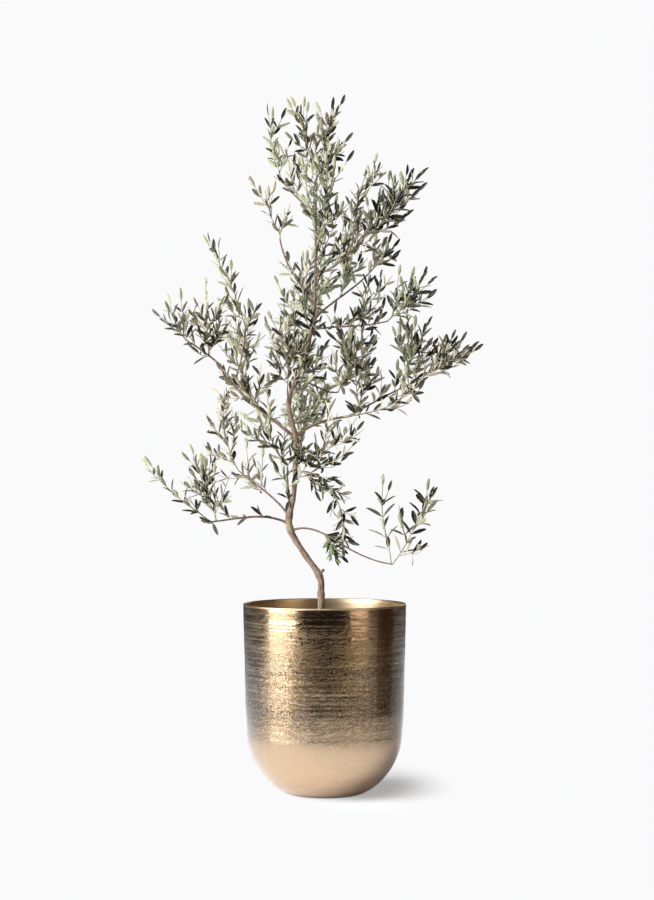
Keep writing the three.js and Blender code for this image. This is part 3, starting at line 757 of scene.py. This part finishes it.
# A spray's stem, given like a bough, and its width in mm; then its seed, how many shoots stand on
# the stem in a first and a second round, and their length as a share of the width.
spray_sizes = {
    "far_left_low_spray": ("low_left_bough", 1, 198, 165, 139, 40, 55, 90, 84, 2, 0, 0.75),
    "low_left_spray": ("low_left_bough", 0.93, 160, 50, 146, 85, 95, 120, 336, 7, 2, 0.85),
    "left_diagonal_spray": ("left_diagonal_bough", 1, 152, 72, 166, 50, 65, 120, 581, 5, 0, 1.05),
    "inner_upright_spray": ("inner_upright_bough", 1, 210, 82, 118, 40, 55, 120, 413, 3, 3, 1.15),
    "low_right_outer_spray": (
        "low_right_outer_bough", 1, 345, 105, 176, 50, 60, 120,
        540, 4, 0, 1.05,
    ),
    "low_right_upright_spray": (
        "low_right_outer_bough", 0.98, 160, 32, 206, 85, 92, 80,
        771, 2, 0, 0.75,
    ),
    "low_tuft": ("low_right_bough", 0.62, 10, 62, -48, -25, -40, 85, 19, 5, 1, 1.05),
    "drooping_spray": ("trunk", 725, 328, 178, -165, 30, -92, 90, 144, 6, 4, 0.75),
    "front_right_spray": ("trunk", 748, 296, 225, 66, 20, 50, 140, 374, 6, 1, 1.15),
    "back_low_spray": ("trunk", 840, 78, 240, 62, 5, 55, 125, 613, 8, 5, 1.25),
    "far_left_spray": ("far_left_bough", 1, 214, 60, 86, 45, 60, 110, 65, 3, 0, 0.75),
    "left_upright_spray": ("far_left_bough", 0.35, 267, 87, 118, 80, 95, 120, 867, 6, 1, 1.05),
    "left_tall_spray": ("left_rising_bough", 1, 184, 92, 222, 78, 60, 80, 31, 3, 3, 0.65),
    "left_inner_spray": ("left_rising_bough", 0.45, 82, 85, 125, 60, 80, 110, 96, 5, 1, 0.95),
    "front_left_spray": ("front_left_bough", 1, 274, 106, 125, 45, 75, 112, 262, 7, 4, 0.95),
    "back_left_spray": ("back_left_bough", 1, 92, 91, 111, 50, 75, 125, 539, 3, 0, 0.95),
    "front_high_spray": ("trunk", 1038, 264, 192, 147, 25, 85, 130, 20, 2, 3, 1.05),
    "right_tip_spray": ("right_high_bough", 1, 6, 128, 86, 35, 30, 125, 18, 8, 4, 0.8),
    "right_high_spray": ("right_high_bough", 0.75, 59, 104, 165, 70, 85, 130, 158, 5, 5, 0.75),
    "right_inner_spray": ("right_high_bough", 0.1, 310, 55, 130, 60, 75, 110, 548, 3, 0, 0.95),
    "right_low_spray": ("right_bough", 0.88, 336, 212, 62, 8, 35, 110, 435, 2, 3, 1.15),
    "mid_right_spray": ("mid_right_bough", 1, 334, 110, 92, 45, 60, 115, 442, 7, 2, 0.65),
    "mid_right_inner_spray": ("mid_right_bough", 0.5, 306, 115, 92, 45, 75, 120, 237, 4, 0, 1.05),
    "upper_right_spray": ("upper_right_bough", 1, 35, 87, 74, 40, 45, 110, 124, 4, 4, 0.45),
    "upper_back_spray": ("trunk", 1091, 86, 206, 117, 20, 75, 150, 307, 6, 2, 1.05),
    "back_right_spray": ("back_right_bough", 1, 58, 107, 130, 55, 80, 125, 644, 7, 4, 1.05),
    "upper_left_spray": ("upper_left_bough", 1, 209, 51, 116, 95, 85, 100, 489, 2, 2, 0.95),
    "crown_left_spray": ("crown_left_bough", 1, 146, 44, 166, 80, 95, 100, 488, 2, 2, 0.65),
    "crown_centre_spray": ("leader", 1, 206, 52, 198, 95, 95, 110, 27, 6, 3, 0.55),
    "crown_top_spray": ("leader", 0.93, 24, 46, 218, 60, 80, 110, 237, 4, 9, 0.65),
    "crown_front_spray": ("leader", 0.42, 290, 110, 180, 45, 80, 140, 595, 4, 4, 1.05),
    "crown_back_spray": ("leader", 0.3, 84, 126, 150, 35, 75, 140, 222, 2, 2, 0.75),
    "crown_right_spray": ("crown_right_bough", 0.6, 350, 46, 212, 60, 72, 100, 413, 5, 2, 1.15),
    "crown_inner_spray": ("upper_right_bough", 0.45, 355, 36, 138, 60, 85, 110, 199, 5, 0, 1.05),
    "leader_left_spray": ("crown_left_bough", 0.45, 215, 50, 118, 55, 80, 100, 95, 4, 0, 0.95),
    "mid_left_spray": ("left_bough", 0.42, 190, 78, 148, 60, 70, 110, 260, 4, 4, 1.15),
    "fork_right_spray": ("trunk", 900, 8, 66, 132, 30, 85, 120, 360, 7, 5, 1.15),
    "crown_far_right_spray": (
        "crown_right_bough", 0.9, 337, 150, 152, 30, 60, 130,
        17, 7, 10, 0.65,
    ),
}
spray_names = list(spray_sizes)
spray_widths = [sizes[7] * millimetre for sizes in spray_sizes.values()]
rising_sprays = [sizes[4] > 0 for sizes in spray_sizes.values()]
# A stem's end is where the solids' big leaf starts. Here it goes on, up to the smaller tip leaf.
solid_leaf = 0.066
tip_leaf = 0.034
stem_girth = (0.0034, 0.003)
stem_root = 0.0019
stem_tip = 0.0009
stem_bare = 0.12
# A spray's space: a share of its width round its stem, clear of the limbs, and not much nearer to
# another spray's stem than to its own.
space_share = 0.96
limb_clearance = 0.003
neighbour_reach = 0.012
leaf_slack = 0.004


def draws(seed):
    """Repeatable draws between 0 and 1, the same for the same seed."""
    state = seed * 7919 + 1
    while True:
        state = state * 16807 % 2147483647
        yield state / 2147483647


def drawn_on(stem, length):
    """A stem's points, carried straight on from its end by a length."""
    point, along = stem.frames[-1][:2]
    points = [frame[0] for frame in stem.frames]
    return points + [point + along * length * share for share in (0.25, 0.5, 0.75, 1)]


stems = {name: grow_limb(sizes, stem_girth, solid_leaf) for name, sizes in spray_sizes.items()}
stem_places = np.array([
    [tuple(point) for point in drawn_on(stem, solid_leaf)] for stem in stems.values()
])
space_reach = np.array(spray_widths) / 2 * space_share
limb_places = np.array([tuple(frame[0]) for limb in limbs.values() for frame in limb.frames])
limb_rooms = np.array([
    limb.radius(0.5) + limb_clearance for limb in limbs.values() for frame in limb.frames
])


def keeps_to_space(spray, point, slack=0.0):
    """True where the point is in its own spray's space and not nearer to another's."""
    apart = np.linalg.norm(stem_places - np.array(point), axis=2).min(axis=1) - space_reach
    own = apart[spray]
    apart[spray] = 1
    return own < slack and apart.min() > own - neighbour_reach


def clear_of_limbs(point):
    return (np.linalg.norm(limb_places - np.array(point), axis=1) > limb_rooms).all()


# Every twig draws its leaves from a seed of its own: a base, then one for each spray and number.
spray_base = 1000
bough_base = 5000
seeds_a_spray = 60
twigs = []


def add_twig(spray, points, radii, bare, free=False):
    """Keeps a twig, its share without leaves, and whether it may leave its spray's space."""
    number = sum((twig["spray"], twig["free"]) == (spray, free) for twig in twigs)
    twigs.append({
        "spray": spray, "points": points, "radii": radii, "bare": bare, "free": free,
        "seed": (bough_base if free else spray_base) + seeds_a_spray * spray + number,
    })
    return twigs[-1]


def tapering(thick, thin, points):
    return [mix(thick, thin, k / (len(points) - 1)) for k in range(len(points))]


def shoot_path(start, direction, length, lift, steps):
    """A shoot that sets off in a direction and turns up on its way."""
    middle = start + direction * length / 2
    onward = (direction + up * lift).normalized()
    tip = middle + onward * length / 2
    return [
        start * (1 - t) ** 2 + middle * 2 * (1 - t) * t + tip * t * t
        for t in (step / steps for step in range(steps + 1))
    ]


def frames_on(points):
    """The frames of a path, each tangent from the point before it to the point after it."""
    last = len(points) - 1
    return framed(points, [
        (points[min(i + 1, last)] - points[max(i - 1, 0)]).normalized() for i in range(last + 1)
    ])


# From one shoot to the next: the golden angle, and up to 40 degrees more by chance.
golden_turn = 137.5
seed_turn = 61
chance_turn = 40


def set_off(frame, number, seed, stream, opening):
    """The way a shoot leaves its twig: turned round it and opened between two angles."""
    point, along, side, across = frame
    turn = math.radians(number * golden_turn + seed * seed_turn + chance_turn * next(stream))
    angle = math.radians(mix(*opening, next(stream)))
    return outward(along, outward(side, across, turn), angle)


# Rounds of shoots: where the first and the last stand on their twig, their radius at its foot in
# metres, and their share without leaves.
first_round = (0.16, 0.8, 0.0013, 0.2)
second_round = (0.12, 0.88, 0.0012, 0.2)
finer_round = (0.3, 0.6, 0.0010, 0.12)
# A shoot's opening in degrees, its length at the twig's foot and at its tip as shares of the
# reach, and by chance; the second round is shorter. A path has a point every 7 mm.
shoot_opening = (28, 46)
shoot_lengths = (1.2, 0.55)
shoot_chance = (0.8, 1.15)
shorter = 0.9
shoot_step = 0.007
shoot_taper = 0.55
shortest_shoot = 0.02
long_shoot = 0.06
rising_lift = 1.3
drooping_lift = 0.15


def branch(spray, frames, count, kind, reach, seed, stream):
    """Shoots one after another along a twig, each turned round it from the last."""
    first, last, thick, bare = kind
    made = []
    for i in range(count):
        share = mix(first, last, i / max(1, count - 1))
        frame = frames[math.floor(share * (len(frames) - 1) + 0.5)]
        direction = set_off(frame, i, seed, stream, shoot_opening)
        length = reach * mix(*shoot_lengths, share) * mix(*shoot_chance, next(stream))
        steps = max(6, round(length / shoot_step))
        lift = rising_lift - max(0, frame[1].z) if rising_sprays[spray] else drooping_lift
        path = shoot_path(frame[0], direction, length, lift, steps)
        kept = 2
        while kept < len(path) and keeps_to_space(spray, path[kept]):
            kept += 1
        if kept * length / steps >= shortest_shoot:
            path = path[:kept]
            radii = tapering(thick, thick * shoot_taper, path)
            made.append(add_twig(spray, path, radii, bare))
    return made


def grow_spray(index, seed, count, more, reach):
    """A stem that goes on from its bough, shoots round it, and a finer twig on each long shoot."""
    stem = stems[spray_names[index]]
    path = drawn_on(stem, solid_leaf - tip_leaf)
    root = min(stem_root, stem.parent.radius(stem.parent_share))
    add_twig(index, path, tapering(root, stem_tip, path), stem_bare)
    length = spray_widths[index] * reach
    frames = frames_on(path)
    stream = draws(seed)
    shoots = branch(index, frames, count, first_round, length, seed, stream)
    shoots += branch(index, frames, more, second_round, shorter * length, seed + 7, stream)
    for number, shoot in enumerate(shoots):
        path = shoot["points"]
        run = (path[-1] - path[0]).length
        if run > long_shoot:
            branch(index, frames_on(path), 1, finer_round, run / 2, seed + number, stream)


for index, sizes in enumerate(spray_sizes.values()):
    grow_spray(index, *sizes[8:])

# Short leafy shoots along the boughs themselves: the spray whose colour they share, their seed, how
# many, the share of the bough where the first and the last stand, and their length in mm.
bough_shoots = {
    "left_diagonal_bough": ("left_diagonal_spray", 89, 7, 0.45, 0.88, 67),
    "low_left_bough": ("low_left_spray", 48, 4, 0.35, 0.95, 24),
    "inner_upright_bough": ("inner_upright_spray", 345, 6, 0.25, 0.95, 59),
    "left_bough": ("mid_left_spray", 617, 8, 0.25, 0.8, 62),
    "far_left_bough": ("far_left_spray", 8, 3, 0.35, 0.95, 53),
    "right_bough": ("right_low_spray", 583, 1, 0.45, 0.88, 48),
    "right_high_bough": ("right_inner_spray", 671, 7, 0.35, 0.95, 42),
    "mid_right_bough": ("mid_right_inner_spray", 251, 10, 0.15, 0.88, 33),
    "upper_right_bough": ("upper_right_spray", 253, 1, 0.45, 0.8, 65),
    "upper_left_bough": ("upper_left_spray", 755, 1, 0.35, 0.8, 41),
    "crown_right_bough": ("crown_right_spray", 28, 6, 0.45, 0.95, 74),
}
bough_opening = (40, 65)
bough_chance = (0.75, 1.2)
bough_shoot_lift = 0.9
bough_shoot_steps = 8
bough_shoot_radii = (0.0011, 0.0007)
bough_shoot_bare = 0.15


def shoots_along(bough, spray, seed, count, first, last, length):
    """Shoots straight from a bough, free to leave their spray's space."""
    stream = draws(seed)
    for i in range(count):
        share = mix(first, last, i / max(1, count - 1))
        frame = bough.frames[round(share * path_steps)]
        direction = set_off(frame, i, seed, stream, bough_opening)
        reach = length * millimetre * mix(*bough_chance, next(stream))
        path = shoot_path(frame[0], direction, reach, bough_shoot_lift, bough_shoot_steps)
        radii = tapering(*bough_shoot_radii, path)
        add_twig(spray_names.index(spray), path, radii, bough_shoot_bare, free=True)


for name, values in bough_shoots.items():
    shoots_along(limbs[name], *values)

curves = bpy.data.curves.new("twig_lines", "CURVE")
curves.dimensions = "3D"
for twig in twigs:
    spline = curves.splines.new("POLY")
    spline.points.add(len(twig["points"]) - 1)
    for knot, point, radius in zip(spline.points, twig["points"], twig["radii"]):
        knot.co = (*point, 1)
        knot.radius = radius
twig_lines = in_scene("twig_lines", curves)

# Shoot bark: thin, smooth and brown to straw, in patches 30 mm long.
shoot_bark, tree, shader = new_material("olive_shoot_bark")
place = add(tree, "ShaderNodeTexCoord").outputs["Object"]
patches = add(tree, "ShaderNodeTexNoise", {"Vector": place, "Scale": 30, "Detail": 3})
feed(tree, shader, {
    "Base Color": add(tree, "ShaderNodeValToRGB", {0: patches}, [
        (0.35, "#7B6E5B"), (0.55, "#9D9177"), (0.7, "#B6AC8F"),
    ]),
    "Roughness": 0.75,
})

# Each line becomes a tube as thick as its points say.
twig_sides = 6
group, given = grower("tapering_twigs", {"Sides": ("Int", twig_sides)})
section = add(group, "GeometryNodeCurvePrimitiveCircle", {
    "Resolution": given["Sides"], "Radius": 1.0,
})
tube = add(group, "GeometryNodeCurveToMesh", {
    "Curve": given["Geometry"], "Profile Curve": section, "Fill Caps": True,
    "Scale": add(group, "GeometryNodeInputRadius"),
})
hand_out(group, tube, shoot_bark)
twig_piece = grown("twigs", twig_lines, group, {"Sides": twig_sides})
twig_piece.data.shade_smooth()
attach(twig_piece, "root")

# Leaves
# Olive leaves, about 23 to 41 mm long and a quarter as wide: leathery, dark olive green above with
# a midrib crease, silver green below, in opposite pairs along every twig and one at its tip.
leaf_pitch = 0.0245
leaf_length = (0.028, 0.041)
# Near a twig's tip the leaves have this share of the length of those at its foot.
tip_share = 0.82
# How far a leaf opens from its twig in degrees, how much less near the tip, and how much more if
# it is very long. How far it leans to the sun, and how far it may roll.
leaf_opening = (38, 66)
tip_closing = 10
long_opening = 16
very_long = 1.2
sun_lean = 0.28
leaf_roll = (-1.2, 1.2)
# The part of a twig that carries pairs, if its bare foot isn't longer.
leafy_part = (0.2, 0.94)
pair_wander = (-0.25, 0.25)
tip_leaf_chance = (0.8, 1)
long_leaved = {"low_right_upright_spray": 1.3, "low_right_outer_spray": 1.3, "left_tall_spray": 1.1}
# A blade's stations: how far along it each lies and how wide it is to one side there, both as
# shares of its length. Its underside hangs below its midrib by the last share.
blade_stations = (
    (0.0, 0.012), (0.1, 0.034), (0.3, 0.112), (0.58, 0.13), (0.86, 0.086), (1.0, 0.01),
)
blade_belly = 0.011


def leaf_blade(name, droop, fold, twist):
    """One blade of unit length along X, its upper face to +Z, closed by its lower face."""
    verts = []
    for along, half in blade_stations:
        bend = -droop * along ** 2
        roll = twist * along
        edge = fold * half
        for across, lift in ((-half, edge), (0, 0.0), (half, edge), (0, -blade_belly)):
            y = across * math.cos(roll) - lift * math.sin(roll)
            z = across * math.sin(roll) + lift * math.cos(roll)
            verts.append((along, y, z + bend))
    faces, above = [], []
    end = 4 * (len(blade_stations) - 1)
    for low in range(0, end, 4):
        for a, b, upper in ((0, 1, True), (1, 2, True), (2, 3, False), (3, 0, False)):
            faces.append((low + a, low + 4 + a, low + 4 + b, low + b))
            above.append(upper)
    faces += [(0, 1, 2, 3), (end, end + 3, end + 2, end + 1)]
    above += [False, False]
    blade = new_object(name, verts, faces)
    upper_face = blade.data.attributes.new("upper", "BOOLEAN", "FACE")
    upper_face.data.foreach_set("value", above)
    for edge in blade.data.edges:
        a, b = edge.vertices
        if a % 4 == b % 4 and a % 4 != 3:
            edge.use_edge_sharp = True
    return blade


blades = [
    leaf_blade("leaf_flat", 0.03, 0.35, 0.1),
    leaf_blade("leaf_arched", 0.16, 0.45, -0.25),
    leaf_blade("leaf_cupped", -0.09, 0.7, 0.3),
]
seats = []


def seat_leaf(twig, point, direction, level, size, stream):
    """Keeps a leaf's seat, unless the leaf would leave its space or touch a limb."""
    level = (level - direction * level.dot(direction)).normalized()
    tip = point + direction * size
    half = point + direction * size / 2
    form = min(len(blades) - 1, int(next(stream) * len(blades)))
    placed = twig["free"] or keeps_to_space(twig["spray"], tip, leaf_slack)
    if placed and clear_of_limbs(half) and clear_of_limbs(tip):
        turn = Matrix((direction, level, direction.cross(level))).transposed().to_quaternion()
        seats.append({
            "spray": spray_names[twig["spray"]], "point": point, "turn": turn, "size": size,
            "form": form,
        })


def dress(twig):
    """Opposite pairs of leaves along a twig, each square to the last, and a leaf at its tip."""
    stream = draws(twig["seed"])
    points, bare = twig["points"], twig["bare"]
    frames = frames_on(points)
    longer = long_leaved.get(spray_names[twig["spray"]], 1)
    wider = long_opening if longer > very_long else 0
    sunward = sun_lean if rising_sprays[twig["spray"]] else 0.0
    pairs = max(1, round(path_length(points) * (1 - bare) / (leaf_pitch * longer)))
    start = next(stream) * math.pi
    for pair in range(pairs):
        share = mix(max(bare, leafy_part[0]), leafy_part[1], pair / pairs)
        place = share * (len(frames) - 1)
        k = min(int(place), len(frames) - 2)
        point = frames[k][0].lerp(frames[k + 1][0], place - k)
        along, side, across = frames[k][1:]
        turn = start + pair * math.pi / 2 + mix(*pair_wander, next(stream))
        out = outward(side, across, turn)
        for hand in (1, -1):
            opening = mix(*leaf_opening, next(stream)) - tip_closing * share + wider
            size = longer * mix(*leaf_length, next(stream)) * mix(1, tip_share, share)
            direction = outward(along, out * hand, math.radians(opening))
            direction = (direction + up * sunward).normalized()
            level = along.cross(out) * hand
            level += direction.cross(level) * mix(*leaf_roll, next(stream))
            seat_leaf(twig, point, direction, level, size, stream)
    point, along, side, across = frames[-1]
    size = tip_leaf * mix(*tip_leaf_chance, next(stream))
    seat_leaf(twig, point, along, side, size, stream)


for twig in twigs:
    dress(twig)

# The sprays in three tones, and the young tuft low on the stem greener than the rest: which
# sprays, and the colours of their leaves' upper and lower faces.
fresh = {"low_tuft"}
deep = set(spray_names[1::3]) - fresh
silvery = set(spray_names[2::3]) - fresh
tones = {
    "olive": (set(spray_names) - fresh - deep - silvery, "#252B11", "#9DA281"),
    "deep": (deep, "#171A0A", "#949477"),
    "silvery": (silvery, "#33351B", "#B1AD93"),
    "fresh": (fresh, "#2E3F27", "#6E7D55"),
}


def leaf_material(name, code, rough, coat):
    """A leaf's skin: one green with a faint mottle of 7 mm, and a waxy gloss on the upper face."""
    material, tree, shader = new_material(name)
    place = add(tree, "ShaderNodeTexCoord").outputs["Object"]
    mottle = add(tree, "ShaderNodeTexNoise", {"Vector": place, "Scale": 150, "Detail": 2})
    darker, lighter = (
        [light * part for part in linear(code)[:3]] + [1] for light in (0.8, 1.2)
    )
    colour = add(tree, "ShaderNodeMix", {0: mottle, 6: darker, 7: lighter}, data_type="RGBA")
    feed(tree, shader, {
        "Base Color": colour.outputs[2], "Roughness": rough,
        "Coat Weight": coat, "Coat Roughness": 0.35,
    })
    return material


group, given = grower("leaves_on_twigs", {
    "Leaf size": ("Float", 1.0), "Upper face": ("Material", None), "Lower face": ("Material", None),
})
forms = add(group, "GeometryNodeJoinGeometry")
for blade in reversed(blades):
    shape = add(group, "GeometryNodeObjectInfo", {"Object": blade, "As Instance": True})
    group.links.new(shape.outputs["Geometry"], forms.inputs[0])
# What the points carry, and which of a blade's faces are upper ones.
carried = {}
for name, kind in (
    ("size", "FLOAT"), ("form", "INT"), ("turn", "QUATERNION"), ("upper", "BOOLEAN"),
):
    carried[name] = add(group, "GeometryNodeInputNamedAttribute", {"Name": name}, data_type=kind)
size = add(group, "ShaderNodeMath", {
    0: carried["size"], 1: given["Leaf size"],
}, operation="MULTIPLY")
placed = add(group, "GeometryNodeInstanceOnPoints", {
    "Points": given["Geometry"], "Instance": forms, "Pick Instance": True,
    "Instance Index": carried["form"], "Rotation": carried["turn"], "Scale": size,
})
hand_out(group, placed, given["Lower face"], carried["upper"], given["Upper face"])

for tone, (members, upper_code, lower_code) in tones.items():
    chosen = [seat for seat in seats if seat["spray"] in members]
    base = new_object(f"leaf_seats_{tone}", [seat["point"] for seat in chosen], [], False)
    for label, kind in (("turn", "QUATERNION"), ("size", "FLOAT"), ("form", "INT")):
        layer = base.data.attributes.new(label, kind, "POINT")
        layer.data.foreach_set("value", np.array([seat[label] for seat in chosen]).ravel())
    leaves = grown(f"leaves_{tone}", base, group, {
        "Upper face": leaf_material(f"olive_leaf_top_{tone}", upper_code, 0.42, 0.1),
        "Lower face": leaf_material(f"olive_leaf_underside_{tone}", lower_code, 0.7, 0.0),
    })
    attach(leaves, "root")
    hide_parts(*sorted(members))
for blade in blades:
    bpy.data.objects.remove(blade)

# Floor, light and camera
# A plain white floor under soft studio light: a wide panel on the left, a weaker one on the right,
# one overhead, small ones in front and behind, and a dim surround. The camera stands level, 5.2 m
# in front.


def sheet(name, corners):
    return new_object(name, corners, [(0, 1, 2, 3)], False)


floor_edge = ((-30, -1.35), (30, -1.35), (30, 40), (-30, 40))
floor = sheet("floor", [(x, y, -0.0004) for x, y in floor_edge])

# Seamless white paper, matte. To the camera it also glows, a painted light: full away from the pot,
# so no real shadow shows there, and a third as strong in an oval right of and behind the pot, where
# the real shadow shows through, lightened.
paper, tree, shader = new_material("white_paper")
feed(tree, shader, {"Base Color": linear("#F2F2F3"), "Roughness": 0.9})
place = add(tree, "ShaderNodeTexCoord").outputs["Object"]
place = add(tree, "ShaderNodeMapping", {"Vector": place, "Scale": (1, 0.45, 1)})
away = add(tree, "ShaderNodeVectorMath", {0: place, 1: (0.10, 0.06, 0)}, operation="DISTANCE")
far = add(tree, "ShaderNodeMapRange", {
    "Value": away.outputs["Value"], "From Min": 0.05, "From Max": 0.21, "To Min": 0.33,
}, interpolation_type="SMOOTHSTEP")
seen = add(tree, "ShaderNodeLightPath").outputs["Is Camera Ray"]
far = add(tree, "ShaderNodeMath", {0: far, 1: seen}, operation="MULTIPLY")
# Painted light: the glow that lightens the floor's shadow and hides it away from the pot.
painted_glow = add(tree, "ShaderNodeEmission", {"Color": linear("#FAFAFB"), "Strength": 1.0})
both = add(tree, "ShaderNodeMixShader", {0: far, 1: shader, 2: painted_glow})
feed(tree, tree.nodes["Material Output"], {"Surface": both})
floor.data.materials.append(paper)

# A backdrop of brown felt beside the pot, which only the metal sees: it mirrors it as a dark band.
felt_edge = ((-0.32, 0.0), (0.34, 0.0), (0.34, 1.1), (-0.32, 1.1))
backdrop = sheet("side_backdrop", [(1.15, y, z) for y, z in felt_edge])
felt, tree, shader = new_material("brown_felt")
feed(tree, shader, {"Base Color": linear("#3B2014"), "Roughness": 1.0})
backdrop.data.materials.append(felt)
backdrop.visible_camera = False


def panel(name, place, target, width, height, watts, colour="#FFFFFF"):
    light = bpy.data.lights.new(name, "AREA")
    light.shape = "RECTANGLE"
    light.size, light.size_y = width, height
    light.energy = watts
    light.color = linear(colour)[:3]
    lamp = in_scene(name, light)
    lamp.location = place
    lamp.rotation_euler = (Vector(target) - Vector(place)).to_track_quat("-Z", "Y").to_euler()


panel("left_panel", (-2.1, -1.15, 1.35), (0, 0, 0.8), 2.0, 2.4, 160, "#FCFCFF")
panel("right_panel", (1.95, -1.75, 0.9), (0, 0, 0.7), 1.2, 1.6, 13, "#FFE8D6")
panel("top_panel", (-0.6, -0.9, 3.3), (0, 0, 0.5), 2.2, 2.2, 62)
panel("front_panel", (-0.4, -3.6, 2.9), (0, 0, 0.9), 1.6, 1.2, 12)
panel("back_panel", (1.4, 3.2, 1.6), (0, 0, 0.8), 1.4, 1.8, 14)

world = bpy.data.worlds.new("dim_surround")
bpy.context.scene.world = world
world.use_nodes = True
tree = world.node_tree
sky = tree.nodes["Background"]
feed(tree, sky, {"Color": linear("#F3EFEA"), "Strength": 0.022})
white = add(tree, "ShaderNodeBackground", {"Color": linear("#FAFAFB"), "Strength": 1.0})
seen = add(tree, "ShaderNodeLightPath").outputs["Is Camera Ray"]
both = add(tree, "ShaderNodeMixShader", {0: seen, 1: sky, 2: white})
feed(tree, tree.nodes["World Output"], {"Surface": both})

bpy.context.scene.view_settings.view_transform = "Standard"
lens = bpy.data.cameras.new("camera")
lens.lens = 91.63
lens.sensor_width = 36
lens.clip_end = 200
camera = in_scene("camera", lens)
camera.location = (0.0052, -5.2, 0.78)
camera.rotation_euler = (math.radians(90), 0, 0)
bpy.context.scene.camera = camera
